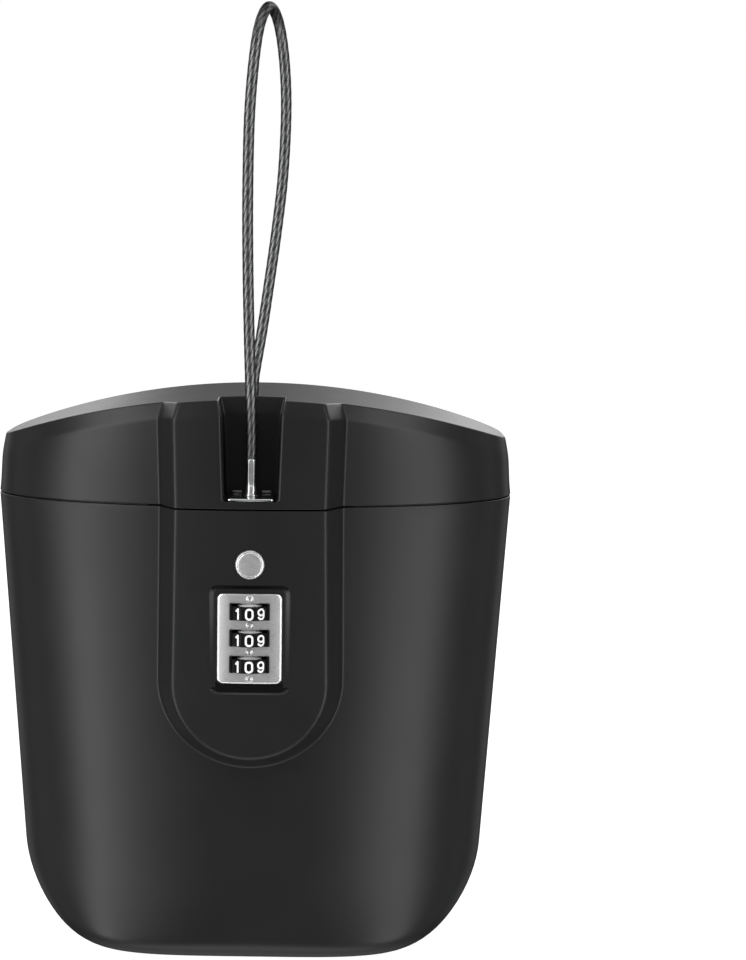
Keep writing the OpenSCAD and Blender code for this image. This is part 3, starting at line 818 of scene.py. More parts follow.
# ------------------------------------------------------------------ lid
def make_lid():
    b = Build()
    const = lambda h: (lambda x: np.full(np.shape(x), float(h)))
    # below the channel's floor
    low_levels = [ZL + 0.35, 165.6, 166.4, CHAN_Z - 0.3, CHAN_Z - 0.15, CHAN_Z - 0.05, CHAN_Z]
    drops = [0, 0, 0, 0.001, 0.04, 0.13, 0.3]
    low = []
    for z, dr in zip(low_levels, drops):
        low.append(mirror(lid_half(const(z), False, dr)[0]))
    ids_low = [b.add(r) for r in low]
    for a, c in zip(ids_low, ids_low[1:]):
        b.band(a, c)
    # rounding of the lower edge
    n_in = offset_in(low[0])
    prev = ids_low[0]
    r = 0.35
    for t in (22.5, 45, 67.5, 90):
        p = low[0].copy()
        p[:, :2] += n_in * r * (1 - math.cos(rad(t)))
        p[:, 2] = ZL + r * (1 - math.sin(rad(t)))
        cur = b.add(p)
        b.band(prev, cur)
        prev = cur
    rim = prev
    n_low = len(low[0]) // 2 + 1
    n_x = 7
    # with the channel
    half0, _ = lid_half(const(CHAN_Z), True)
    n_up = len(half0)
    n_a = n_up - (n_low - n_x)          # points of the channel's own sections
    ring0 = mirror(half0)
    top_low = ids_low[-1]
    ids = b.add(ring0)
    for i in range(n_a, n_up):          # the rest is shared with the ring below
        ids[i] = top_low[i - n_a + n_x]
    for i in range(n_up, len(ids)):
        j = 2 * (n_up - 1) - i          # mirror of point j
        if j >= n_a:
            k = j - n_a + n_x
            ids[i] = top_low[2 * (n_low - 1) - k]
    # channel floor
    front = [top_low[i] for i in range(n_x)] + [ids[n_a]]
    front_l = [top_low[2 * (n_low - 1) - i] for i in range(1, n_x)]
    chan_r = [ids[i] for i in range(n_a)]
    chan_l = [ids[2 * (n_up - 1) - i] for i in range(1, n_a)]
    loop = front + chan_r[::-1] + chan_l + [ids[2 * (n_up - 1) - n_a]] + front_l[::-1]
    hole = b.add([(x, y, CHAN_Z) for x, y in circle(0, STUD_Y, 3.35)])
    b.fill(loop, [hole])
    hole_low = b.add([(x, y, ZL) for x, y in circle(0, STUD_Y, 3.35)])
    b.band(hole, hole_low)
    # up to the bend and over the band
    prev = ids
    rings = []
    for t in (0.003, 0.009, 0.018, 0.03, 0.044, 0.06, 0.12, 0.22, 0.32, 0.42, 0.52, 0.62, 0.72, 0.82, 0.9, 0.96, 1.0):
        rings.append(lambda x, t=t: CHAN_Z + t * (roof(x) - BAND_H - 1.6 - CHAN_Z))
    for h in (-1.1, -0.7, -0.4, -0.15, 0.1, 0.35, 0.7, 1.1, 1.7, 2.6, 3.6, 4.4, 4.9):
        rings.append(lambda x, h=h: roof(x) - BAND_H + h)
    for zf in rings:
        cur = b.add(mirror(lid_half(zf)[0]))
        b.band(prev, cur)
        prev = cur
    # rounding of the top edge
    half, beta = lid_half(lambda x: roof(x) + 0 * x)
    edge = mirror(half)
    bt = np.concatenate([beta, beta[1:-1][::-1]])
    n_in = offset_in(edge)
    phi = np.radians(25.74 * bt)
    rt = 0.6
    big = rt * np.tan((math.pi / 2 - phi) / 2)
    for u in np.linspace(0, 1, 6):
        psi = (math.pi - phi) * (1 - u) + math.pi / 2 * u
        d = big + rt * np.cos(psi)
        dz = -rt + rt * np.sin(psi)
        p = edge.copy()
        p[:, :2] += n_in * d[:, None]
        p[:, 2] = roof(p[:, 0]) + dz
        cur = b.add(p)
        b.band(prev, cur)
        prev = cur
    ex = circle(0, EXIT_Y, 3.3, 48)
    e1 = b.add([(x, y, float(roof(x))) for x, y in ex])
    ringl = [e1]
    for rr, dz in ((3.05, 0.04), (2.94, 0.14), (2.9, 0.3), (2.9, 2.8)):
        ringl.append(b.add([(x, y, float(roof(x)) - dz) for x, y in circle(0, EXIT_Y, rr)]))
        b.band(ringl[-2], ringl[-1])
    p = np.array([b.v[i] for i in prev])
    n_in = offset_in(p)
    p[:, :2] += n_in * 0.08
    p[:, 2] = roof(p[:, 0])
    cur = b.add(p)
    b.band(prev, cur)
    b.fill(cur, [e1], 3.2, lift=lambda x, y: (x, y, float(roof(x))))

    # inside
    def inner_half(zf, o, pocket, back=0.0):
        z0 = float(zf(np.array([20.0]))[0])

        def ell(a, z):
            w, f, r = lid_sizes(z)
            t = np.clip((w * np.cos(a) - 36.5) / 3, 0, 1)     # full wall beside the panel
            q = 2.8 + (o - 2.8) * t * t * (3 - 2 * t) if o < 2.8 else o
            return (w - q) * np.cos(a), YC - (f - q - back * np.minimum(1, 2 * np.sin(a))) * np.sin(a)

        def y_at(x):
            z = float(zf(np.array([x]))[0])
            w, f, r = lid_sizes(z)
            q = max(o, 2.8)
            a = math.acos(x / (w - q))
            return YC - (f - q - back * min(1, 2 * math.sin(a))) * math.sin(a)
        pts = [(u * 14.3, -31.2) for u in np.linspace(0, 1, 6)]
        pts += [(14.65, -31.35), (14.8, -31.7)]
        y_end = -54.6 if pocket else y_at(14.8)
        pts += [(14.8, -31.7 + (y_end + 31.7 + 0.5) * u) for u in np.linspace(0, 1, 11)[1:]]
        if pocket:
            pts += [(14.95, -54.45), (15.3, -54.6)]
            pts += [(15.3 + 7.6 * u, -54.6) for u in np.linspace(0, 1, 5)[1:]]
            pts += [(23.25, -54.45), (23.4, -54.1)]
            ye = y_at(23.4)
            pts += [(23.4, -54.1 + (ye + 54.1) * u) for u in np.linspace(0, 1, 6)[1:]]
        else:
            pts += [(14.82, y_at(14.82) + 0.25), (14.9, y_at(14.9) + 0.02)]
            xs = np.linspace(14.95, 23.4, 12)[1:]
            pts += [(x, y_at(x)) for x in xs]
        pts = np.array(pts)
        z = zf(pts[:, 0])
        a1 = math.acos(23.4 / (lid_sizes(z0)[0] - o))
        aa = a1 * (1 - np.linspace(0, 1, 31)[1:])
        x = lid_sizes(z0)[0] * np.cos(aa)
        for _ in range(4):
            zz = zf(x)
            x, y = ell(aa, zz)
        ra = REAR[1:]
        cx = np.cos(ra) ** (1 / 3)
        cx[-1] = 0
        x2 = 90 * cx
        for _ in range(4):
            z2 = zf(x2)
            w, f, r = lid_sizes(z2)
            x2, y2 = (w - o) * cx, YC + (r - o) * np.sin(ra) ** (1 / 3)
        return np.vstack([np.column_stack([pts, z]), np.column_stack([x, y, zz]),
                          np.column_stack([x2, y2, z2])])

    inner = [(const(ZL), 1.05, True, 0), (const(167.0), 1.05, True, 0),
             (const(167.1), 1.2, True, 0), (const(167.1), 2.8, True, 0)]
    for z in (172, 178, 184, 189, 192.5):
        inner.append((lambda x, z=z: np.minimum(z, roof(x) - 3.6) + 0 * x, 2.8, True, 0))
    inner.append((lambda x: np.minimum(194.4, roof(x) - 3.3) + 0 * x, 2.8, True, 0))
    inner.append((lambda x: np.minimum(194.5, roof(x) - 3.2) + 0 * x, 2.8, False, 0))
    inner.append((lambda x: roof(x) - 3.0, 2.8, False, 1.6))
    inner.append((lambda x: roof(x) - 2.8, 3.1, False, 2.0))
    prev = None
    for zf, o, pk, back in inner:
        cur = b.add(mirror(inner_half(zf, o, pk, back)))
        if prev is None:
            b.fill(rim, [cur, hole_low])
        else:
            b.band(prev, cur)
        prev = cur
    b.fill(prev, [ringl[-1]], 4.0, lift=lambda x, y: (x, y, float(roof(x)) - 2.8))
    o = b.object("lid_cover", LID)
    return o


def hinge_side(o, own, gaps, rib):
    """Joins hinge knuckles and a rib to a moulding, then clears the other side's."""
    adds = [cyl("k%d" % i, 4.0, x0, x1, HINGE_Y, PART) for i, (x0, x1) in enumerate(own)]
    adds.append(block("rib", *rib, r=0.8))
    boolean(o, adds, "UNION")
    cuts = [cyl("g%d" % i, 4.5, x0, x1, HINGE_Y, PART, ch=0.01) for i, (x0, x1) in enumerate(gaps)]
    cuts.append(cyl("bore", 1.56, -55, 55, HINGE_Y, PART, ch=0.01))
    boolean(o, cuts, "DIFFERENCE")
    return o


lid = make_lid()
hinge_side(lid, [(-29.75, -10.25), (10.25, 29.75)],
           [(-50.4, -29.6), (-10.4, 10.4), (29.6, 50.4)],
           ((-53, 42.6, 167.4), (53, 45.4, 178)))
place(lid, "lid", "lid_plastic", "lid_shell")


# ------------------------------------------------------------------ body
def corner_t(z, o=0.0):
    return 1.0 if z >= 34 else math.sqrt(max(0.0, 1 - ((34 - z) / (34 - o)) ** 2))


def edge_in(z, r, o=0.0):
    return 0.0 if z >= r else (r - o) * (1 - math.sqrt(max(0.0, 1 - ((r - z) / (r - o)) ** 2)))


def body_sizes(z, o=0.0):
    t = corner_t(z, o)
    w = W0 - (PART - z) * math.tan(rad(4.2)) - o - (28 - o) * (1 - t)
    n = 2 + 2.3 * (1 - t)
    f = F0 - o - (PART - z) * math.tan(rad(0.4)) - edge_in(z, 8, o)
    r = R0 - o - edge_in(z, 6, o)
    return w, n, f, r


NF = 72
FRONT = (math.pi / 2) * (np.arange(NF + 1) / NF) ** 1.5
FRONT = np.concatenate([FRONT, math.pi - FRONT[-2::-1]])     # right, over the front, to the left


def body_ring(z, o=0.0, zz=None):
    w, n, f, r = body_sizes(z, o)
    c, s = np.cos(FRONT), np.sin(FRONT)
    s = np.maximum(s, 0)
    x = w * np.sign(c) * np.abs(c) ** (2 / n)
    x[NF] = 0
    y = YC - f * s ** (2 / n)
    ra = REAR[1:]
    cx = np.cos(ra) ** (1 / 3)
    cx[-1] = 0
    cx = np.concatenate([cx, -cx[-2::-1]])
    sy = np.sin(ra) ** (1 / 3)
    sy = np.concatenate([sy, sy[-2::-1]])
    x = np.concatenate([x, -(w * cx)])
    y = np.concatenate([y, YC + r * sy])
    return np.column_stack([x, y, np.full(len(x), z if zz is None else zz)])


def skin_y(x, z, o=0.0):
    w = W0 - (PART - z) * math.tan(rad(4.2)) - o
    f = F0 - o - (PART - z) * math.tan(rad(0.4))
    return YC - f * np.sqrt(1 - (x / w) ** 2)


def panel_y(x, z):
    return FACE_Y + (PART - z) * math.tan(rad(1.5)) + FACE_R - np.sqrt(FACE_R ** 2 - x * x)


def wall_y(r):
    return -42.0 + (r - FOOT) / SLOPE


def u_dist(x, z):
    return np.where(z >= ARC_Z, np.abs(x), np.hypot(x, z - ARC_Z))


def rect_loop(x0, x1, z0, z1, r, n=6, side=9):
    """Rounded rectangle with points along its sides, from its lower right corner on."""
    pts = []
    for cx, cz, a0 in ((x1 - r, z0 + r, -90), (x1 - r, z1 - r, 0), (x0 + r, z1 - r, 90),
                       (x0 + r, z0 + r, 180)):
        for k in range(n + 1):
            a = rad(a0 + 90 * k / n)
            pts.append((cx + r * math.cos(a), cz + r * math.sin(a)))
        # along the side to the next corner
        nxt = {-90: (x1, z1 - r), 0: (x0 + r, z1), 90: (x0, z0 + r), 180: (x1 - r, z0)}[a0]
        p = pts[-1]
        for k in range(1, side):
            u = k / side
            pts.append((p[0] + (nxt[0] - p[0]) * u, p[1] + (nxt[1] - p[1]) * u))
    return pts


TOP_R = 0.35
ZT = ZB - TOP_R
MARGIN = 35.2


def make_body():
    b = Build()
    levels = [0, 0.2, 0.5, 0.95, 1.6, 2.4, 3.4, 4.6, 6, 7.3, 8.6, 10.5, 13, 16, 19, 22, 25, 28,
              31, 34, 38, 43, 48, 54, 60, 64]
    levels += list(np.linspace(67, ZT, 34))
    levels = np.array(levels, float)
    n = len(body_ring(0))
    rows = [b.add(body_ring(z)) for z in levels]
    nf = 2 * NF
    P = np.array(b.v).reshape(len(levels), n, 3)
    out = np.zeros((len(levels) - 1, nf), bool)
    for k in range(len(levels) - 1):
        for i in range(nf):
            q = [P[k, i], P[k, i + 1], P[k + 1, i], P[k + 1, i + 1]]
            out[k, i] = min(float(u_dist(p[0], p[2])) for p in q) < MARGIN + 1.0
    for k in range(len(levels) - 1):
        for i in range(n):
            if i < nf and out[k, i]:
                continue
            j = (i + 1) % n
            b.f.append((rows[k][i], rows[k][j], rows[k + 1][j], rows[k + 1][i]))
    # edges round the part of the skin that the panel's neighbourhood takes
    cnt = {}
    for k in range(len(levels) - 1):
        for i in range(nf):
            if out[k, i]:
                for e in ((rows[k][i], rows[k][i + 1]), (rows[k + 1][i], rows[k + 1][i + 1]),
                          (rows[k][i], rows[k + 1][i]), (rows[k][i + 1], rows[k + 1][i + 1])):
                    cnt[e] = cnt.get(e, 0) + 1
    top_row = set(rows[-1])
    border = [e for e, c in cnt.items() if c == 1 and not (e[0] in top_row and e[1] in top_row)]
    # lines across the panel's edge, from the left top, round the bottom, to the right top
    zs = np.linspace(ZT, ARC_Z, 27)
    lines = [(0.0, z, -1.0, 0.0) for z in zs]
    for k in range(1, 56):
        a = math.pi * k / 56
        lines.append((0.0, ARC_Z, -math.cos(a), -math.sin(a)))
    lines += [(0.0, z, 1.0, 0.0) for z in zs[::-1]]
    grid = []
    for x0, z0, dx, dz in lines:
        at = lambda r: (x0 + r * dx, z0 + r * dz)
        sk = lambda r: float(skin_y(*at(r)))
        fa = lambda r: float(panel_y(*at(r)))
        lo, hi = 26.0, 34.5
        for _ in range(40):
            m = (lo + hi) / 2
            if wall_y(m) < sk(m):
                lo = m
            else:
                hi = m
        foot = (lo + hi) / 2
        lo, hi = 22.0, foot
        for _ in range(40):
            m = (lo + hi) / 2
            if wall_y(m) < fa(m):
                lo = m
            else:
                hi = m
        cor = (lo + hi) / 2
        fp = np.array([foot, wall_y(foot)])
        t_w = np.array([-SLOPE, -1.0])
        t_s = np.array([1.0, sk(foot + 0.5) - sk(foot - 0.5)])
        bend = fillet(fp, t_s, t_w, R_FOOT, 8)
        prof = [(MARGIN, sk(MARGIN)), (foot + 1.8, sk(foot + 1.8)), (foot + 1.2, sk(foot + 1.2))]
        prof += [tuple(p) for p in bend]
        fp = bend[-1]
        arc = fillet(np.array([cor, fa(cor)]), np.array([SLOPE, 1.0]),
                     np.array([-1.0, -(fa(cor) - fa(cor - 1))]), R_CORNER, 6)
        for u in (0.05, 0.2, 0.4, 0.6, 0.8, 0.95):
            prof.append(tuple(fp + (arc[0] - fp) * u))
        prof += [tuple(p) for p in arc]
        r_in = arc[-1][0] - 0.5
        prof.append((r_in, fa(r_in)))
        prof.append((cor - 2.2, fa(cor - 2.2)))
        grid.append([(at(r)[0], y, at(r)[1]) for r, y in prof])
    g = np.array(grid)                        # lines x profile x 3
    gid = [b.add(line) for line in g]
    for a, c in zip(gid, gid[1:]):
        b.band(a, c, closed=False)
    margin = [a[0] for a in gid]
    inner = [a[-1] for a in gid]
    # skin between the panel's neighbourhood and the margin
    ends = {}
    for e in border:
        for i in e:
            if i in top_row:
                ends[i] = b.v[i][0]
    left_end = [i for i, x in ends.items() if x < 0][0]
    right_end = [i for i, x in ends.items() if x > 0][0]
    edges = border + list(zip(margin, margin[1:])) + [(left_end, margin[0]), (margin[-1], right_end)]
    bl = {}
    for k in range(len(levels) - 1):
        w = P[k, 0, 0]

    def keep(p):
        x, z = p[:, 0], p[:, 1]
        k = np.clip(np.searchsorted(levels, z, "right") - 1, 0, len(levels) - 2)
        t = (z - levels[k]) / (levels[k + 1] - levels[k])
        res = np.zeros(len(p), bool)
        for m in range(len(p)):
            xs = P[k[m], :nf + 1, 0] * (1 - t[m]) + P[k[m] + 1, :nf + 1, 0] * t[m]
            i = int(np.searchsorted(-xs, -x[m], "right") - 1)
            if 0 <= i < nf and out[k[m], i]:
                res[m] = u_dist(x[m], z[m]) > MARGIN - 0.02 or False
        ml = np.array([[b.v[i][0], b.v[i][2]] for i in margin])
        res &= ~inside(p, ml)
        return res

    pts = sorted({i for e in edges for i in e})
    b.fill(pts, (), 2.2, axes=(0, 2), lift=lambda x, z: (x, float(skin_y(x, z)), z),
           edges=edges, keep=keep, clear=0.55)
    # panel face: button bore and lock recess
    top = b.add([(x, float(panel_y(x, ZT)), ZT) for x in
                 np.linspace(b.v[inner[0]][0], b.v[inner[-1]][0], 18)[1:-1]])
    face_loop = inner + top[::-1]
    cave = -54.2
    bore = []
    for r, dep in ((6.1, 0), (5.65, 0.0), (5.42, 0.04), (5.28, 0.14), (5.22, 0.3)):
        bore.append(b.add([(x, float(panel_y(x, z)) + dep, z)
                           for x, z in circle(0, BUTTON_Z, r, 64)]))
    bore.append(b.add([(x, cave, z) for x, z in circle(0, BUTTON_Z, 5.22, 64)]))
    for a, c in zip(bore, bore[1:]):
        b.band(a, c)
    rec = []
    # (side, top, bottom) of the recess's rim and floor
    rim, flo = (14.6, 138.0, 98.9), (12.1, 136.4, 99.9)
    for s, dep in ((-0.14, 0.0), (0.0, 0.0), (0.07, 0.02), (0.15, 0.09), (0.27, 0.24), (0.42, 0.45),
                   (0.57, 0.66), (0.72, 0.84), (0.86, 0.95), (1.0, 1.0)):
        sx = rim[0] + (flo[0] - rim[0]) * s
        z1 = rim[1] + (flo[1] - rim[1]) * s
        z0 = rim[2] + (flo[2] - rim[2]) * s
        rr = 3.6 + (1.6 - 3.6) * max(0, s)
        rec.append(b.add([(x, float(panel_y(x, z)) * (1 - dep)
                           + (-56.6 - 1.1 * min(1.0, max(0.0, (102.9 - z) / 3.0))) * dep, z)
                          for x, z in rect_loop(-sx, sx, z0, z1, rr, 7, 10)]))
    # the floor slopes up to the rim below the plate
    rec.append(b.add([(x, -56.6, z) for x, z in rect_loop(-11.9, 11.9, 102.9, 136.2, 1.5, 7, 10)]))
    for a, c in zip(rec, rec[1:]):
        b.band(a, c)
    hole = b.add([(x, -56.6, z) for x, z in rect_loop(-8.8, 8.8, 104.4, 134, 0.6, 4, 6)])
    hole_in = b.add([(x, cave, z) for x, z in rect_loop(-8.8, 8.8, 104.4, 134, 0.6, 4, 6)])
    b.fill(rec[-1], [hole], axes=(0, 2))
    b.band(hole, hole_in)
    b.fill(face_loop, [bore[0], rec[0]], 2.6, axes=(0, 2),
           lift=lambda x, z: (x, float(panel_y(x, z)), z))
    # the top's outline: skin grid, panel edge lines, face
    ring_top = rows[-1]
    left_i, right_i = ring_top.index(left_end), ring_top.index(right_end)
    line_l, line_r = gid[0], gid[-1]
    # the grid ring runs from the right over the front to the left, then round the rear
    outline = ring_top[:right_i + 1] + line_r + top[::-1] + line_l[::-1] + ring_top[left_i:]
    p0 = np.array([b.v[i] for i in outline])
    n_in = offset_in(p0)
    prev = outline
    for t in (22.5, 45, 67.5, 90):
        p = p0.copy()
        p[:, :2] += n_in * TOP_R * (1 - math.cos(rad(t)))
        p[:, 2] = ZT + TOP_R * math.sin(rad(t))
        cur = b.add(p)
        b.band(prev, cur)
        prev = cur
    # inside of the cup
    ilev = [2.8, 3.0, 3.5, 4.3, 5.6, 7.2, 9, 12, 16, 22, 28, 34, 42, 50, 60, 70]
    ilev += list(np.linspace(76, 161, 24)) + [ZB]
    ilev = np.array(ilev)
    irows = []
    for z in ilev:
        irows.append(b.add(body_ring(z, 2.8)))
    Q = np.array([[b.v[i] for i in r] for r in irows])
    b.fill(prev, [irows[-1]])
    iout = np.zeros((len(ilev) - 1, nf), bool)
    for k in range(len(ilev) - 2):
        for i in range(nf):
            q = [Q[k, i], Q[k, i + 1], Q[k + 1, i], Q[k + 1, i + 1]]
            iout[k, i] = min(float(u_dist(c[0], c[2])) for c in q) < 25.4 + 0.8
    cnt = {}
    for k in range(len(ilev) - 1):
        for i in range(n):
            j = (i + 1) % n
            if i < nf and iout[k, i]:
                for e in ((irows[k][i], irows[k][i + 1]), (irows[k + 1][i], irows[k + 1][i + 1]),
                          (irows[k][i], irows[k + 1][i]), (irows[k][i + 1], irows[k + 1][i + 1])):
                    cnt[e] = cnt.get(e, 0) + 1
                continue
            b.f.append((irows[k][i], irows[k][j], irows[k + 1][j], irows[k + 1][i]))
    iborder = [e for e, c in cnt.items() if c == 1]
    uloop = [(-25.4, z) for z in np.linspace(160.5, ARC_Z, 16)]
    uloop += [(-25.4 * math.cos(math.pi * k / 40), ARC_Z - 25.4 * math.sin(math.pi * k / 40))
              for k in range(1, 40)]
    uloop += [(25.4, z) for z in np.linspace(ARC_Z, 160.5, 16)]
    uloop += [(x, 160.5) for x in np.linspace(25.4, -25.4, 14)[1:-1]]
    ua = b.add([(x, float(skin_y(x, z, 2.8)), z) for x, z in uloop])
    ub = b.add([(x, cave, z) for x, z in uloop])
    b.band(ua, ub)
    b.fill(ub, [bore[-1], hole_in], 5.0, axes=(0, 2), lift=lambda x, z: (x, cave, z))
    ul = np.array(uloop)

    def ikeep(p):
        x, z = p[:, 0], p[:, 1]
        k = np.clip(np.searchsorted(ilev, z, "right") - 1, 0, len(ilev) - 2)
        t = (z - ilev[k]) / (ilev[k + 1] - ilev[k])
        res = np.zeros(len(p), bool)
        for m in range(len(p)):
            xs = Q[k[m], :nf + 1, 0] * (1 - t[m]) + Q[k[m] + 1, :nf + 1, 0] * t[m]
            i = int(np.searchsorted(-xs, -x[m], "right") - 1)
            res[m] = 0 <= i < nf and iout[k[m], i]
        return res & ~inside(p, ul)

    edges = iborder + [(ua[i], ua[(i + 1) % len(ua)]) for i in range(len(ua))]
    b.fill(sorted({i for e in edges for i in e}), (), None, axes=(0, 2), edges=edges, keep=ikeep)
    # floor, inside and out
    b.fill(irows[0], (), 9.0, lift=lambda x, y: (x, y, 2.8))
    b.fill(rows[0], (), 9.0, lift=lambda x, y: (x, y, 0.0))
    o = b.object("case_body", CASE)
    o.data.materials.append(SHADE_BLACK)
    for f in o.data.polygons:                 # painted shade on the upper and lower end of the lock's recess
        c, n = f.center * 1000, f.normal
        if abs(c.x) < 14.9 and -60.2 < c.y < -56.4 and 98.5 < c.z < 138.6 \
                and (abs(n.z) > 0.75 or (c.z < 103.0 and n.z > 0.2)
                     or (c.z > 136.3 and n.z < -0.12)
                     or (c.z < 101.4 and n.y > -0.96 and n.z > -0.1)):
            f.material_index = 1
    return o


def make_tongue():
    """Upright lip round the rim that the lid drops over, left out across the panel."""
    b = Build()
    outer, inner = body_ring(PART, 1.8), body_ring(PART, 2.8)
    n = len(outer)
    keep = [i for i in range(n) if not (abs(outer[i][0]) < 34.6 and outer[i][1] < 0)]
    cut = next(k for k in range(len(keep) - 1) if keep[k + 1] - keep[k] > 1)
    order = keep[cut + 1:] + keep[:cut + 1]
    z0, z1 = ZB - 0.01, ZB + 2.1
    prof = [(0, z0), (0, z1 - 0.3), (0.09, z1 - 0.09), (0.3, z1), (0.7, z1), (0.91, z1 - 0.09),
            (1, z1 - 0.3), (1, z0)]
    prev = None
    for i in order:
        o, q = outer[i], inner[i]
        cur = b.add([(o[0] + (q[0] - o[0]) * u, o[1] + (q[1] - o[1]) * u, z) for u, z in prof])
        if prev is None:
            b.f.append(tuple(cur))
        else:
            b.band(prev, cur)
        prev = cur
    b.f.append(tuple(prev))
    return b.object("rim_tongue", CASE)


body = make_body()
deck = block("deck", (-25.6, -50, 161), (25.6, -42, ZB - 0.01), mat=CASE)
boolean(body, [deck], "UNION")
hinge_side(body, [(-50, -30), (-10, 10), (30, 50)], [(-30.15, -9.85), (9.85, 30.15)],
           ((-53, 43.2, 148), (53, 46.5, ZB - 0.02)))
socket = lathe("socket_cut", CASE, [(0, 158), (3.6, 158), (3.6, 168), (0, 168)], (0, STUD_Y, 0))
boolean(body, [socket], "DIFFERENCE")
place(body, "case", "case_plastic", "body_shell")
tongue = make_tongue()
place(tongue, "case", "case_plastic")


# ------------------------------------------------------------------ lock plate
def make_bezel():
    b = Build()
    y0, y1 = -57.65, -56.6
    cz, hw, hh = DIAL_Z + 0.1, 11.35, 15.95
    loops = []

    def drop(x):
        return 0.74 * (max(0.0, abs(x) - 4.6) / 6.75) ** 2

    for ins, y in ((0, y1), (0, y0 + 0.36), (0.06, y0 + 0.26), (0.36, y0 + 0.04), (0.5, y0),
                   (0.8, y0)):
        loops.append(b.add([(x, min(y + drop(x), y1), z) for x, z in
                            rect_loop(-hw + ins, hw - ins, cz - hh + ins, cz + hh - ins,
                                      1.9 - ins * 0.8, 8, 8)]))
    for a, c in zip(loops, loops[1:]):
        b.band(a, c)
    holes_f, holes_b = [], []
    for k in (-1, 0, 1):
        z = DIAL_Z + k * PITCH + 0.4
        prev = None
        for ex, y in ((0.3, y0), (0.16, y0 + 0.02), (0.03, y0 + 0.12), (0, y0 + 0.28), (0, y1)):
            cur = b.add([(x, min(y + drop(x), y1), zz) for x, zz in
                         rect_loop(-6.95 - ex, 6.95 + ex, z - 2.9 - ex, z + 2.9 + ex, 0.35 + ex, 4, 6)])
            if prev is None:
                holes_f.append(cur)
            else:
                b.band(prev, cur)
            prev = cur
        holes_b.append(prev)
    b.fill(loops[-1], holes_f, step=0.9, axes=(0, 2), lift=lambda x, z: (x, y0 + drop(x), z))
    b.fill(loops[0], holes_b, axes=(0, 2))
    o = b.object("lock_plate", BRUSHED, 28)
    return place(o, "case", "bezel_metal", "lock_bezel")


make_bezel()


def make_studs():
    b = Build()
    prof = rounded([(0, 57.3), (1.4, 57.3), (1.4, 57.8), (1.05, 58.15), (0.75, 58.15), (0.4, 57.45),
                    (0, 57.4)], [0, 0, 0.12, 0.24, 0.2, 0.03, 0], 5)
    n = 56
    for k in (-1.5, -0.5, 0.5, 1.5):
        cz = DIAL_Z + 0.2 + k * 9.4
        rings = []
        for r, h in prof:
            if r < 1e-6:
                rings.append(b.add([(0, -h, cz)]))
            else:
                rings.append(b.add([(r * math.cos(2 * math.pi * i / n), -h,
                                     cz + r * math.sin(2 * math.pi * i / n)) for i in range(n)]))
        for a, c in zip(rings, rings[1:]):
            if len(a) == 1:
                b.f += [(a[0], c[i], c[(i + 1) % n]) for i in range(n)]
            elif len(c) == 1:
                b.f += [(a[i], a[(i + 1) % n], c[0]) for i in range(n)]
            else:
                b.band(a, c)
    return place(b.object("index_rivets", RIVET), "case", "chrome", "index_studs")


make_studs()


def make_shade_liner():
    # near-black jambs curved round each drum beside its window: painted shade that hides the side numerals
    b = Build()
    for k in (-1, 0, 1):
        z = DIAL_Z + k * PITCH + 0.4
        for s in (1, -1):
            ring = []
            for zz in (z - 2.95, z + 2.95):
                inner = [(7.17 * math.sin(rad(t)), AX_Y - 7.17 * math.cos(rad(t)))
                         for t in (58, 61, 64, 67, 69.5)]
                ring.append(b.add([(s * x, y, zz) for x, y in inner + [
                    (6.95, -57.09), (6.95, -57.75), (6.85, -58.05), (6.6, -58.3), (6.3, -58.44)]]))
            b.band(ring[0], ring[1])
            b.f += [tuple(ring[0]), tuple(reversed(ring[1]))]
    return place(b.object("window_shade_liner", SHADE_BLACK, 40), "case")


make_shade_liner()

# ------------------------------------------------------------------ button
ring = lathe("button_trim", RIVET, rounded(
    [(4.38, 55.45), (5.12, 55.45), (5.12, 58.75), (4.72, 59.3), (4.38, 59.1)],
    [0, 0, 0.25, 0.3, 0.12], 4, True), (0, 0, BUTTON_Z), "y", 96)
place(ring, "case", "chrome", "button_ring")
cap = lathe("button_disc", SATIN, rounded(
    [(0, 50.5), (1.8, 50.5), (1.8, 53.3), (4.1, 55.6), (4.1, 57.5), (4.32, 57.7), (4.32, 59.16),
     (4.1, 59.36), (3.3, 59.455), (2.5, 59.518), (1.7, 59.563), (0.85, 59.591), (0, 59.6)],
    [0, 0, 0, 0, 0, 0, 0.12, 0.15, 0, 0, 0, 0, 0], 3), (0, 0, BUTTON_Z), "y", 96)
place(cap, "button", "button_metal", "button_cap")


# ------------------------------------------------------------------ dials and digits
def make_dial(name, node, body_name, z):
    b = Build()
    h, r0, n = 4.7, 7.03, 360
    prof = [(4.2, -h / 2), (r0 - 0.34, -h / 2), (r0 - 0.14, -h / 2 + 0.08), (r0 - 0.02, -h / 2 + 0.26),
            (r0, -h / 2 + 0.42), (r0, h / 2 - 0.42), (r0 - 0.02, h / 2 - 0.26),
            (r0 - 0.14, h / 2 - 0.08), (r0 - 0.34, h / 2), (4.2, h / 2)]
    rings = []
    for r, zz in prof:
        pts = []
        for i in range(n):
            a = 360.0 * i / n
            off = (a - 270 + 18) % 36
            off = min(off, 36 - off)                 # degrees from the nearest groove
            cut = 0.0
            if r > 5 and off < 5:
                cut = 0.34 * math.cos(off / 5 * math.pi / 2) ** 2
            rr = r - cut
            pts.append((rr * math.cos(rad(a)), AX_Y + rr * math.sin(rad(a)), z + zz))
        rings.append(b.add(pts))
    for a, c in zip(rings, rings[1:]):
        b.band(a, c)
    b.band(rings[-1], rings[0])
    place(b.object(name, DIAL, 40), body_name, "dial_plastic", node)
    t = h / 2 + z
    disc = lathe(name.replace("drum", "hub"), HUB, rounded(
        [(1.5, t - 0.05), (4.5, t - 0.05), (4.5, t + 0.08), (2.6, t + 0.72), (1.5, t + 0.78)],
        [0, 0, 0.06, 1.2, 0], 5, True), (0, AX_Y, 0), "z", 80)
    return place(disc, body_name)


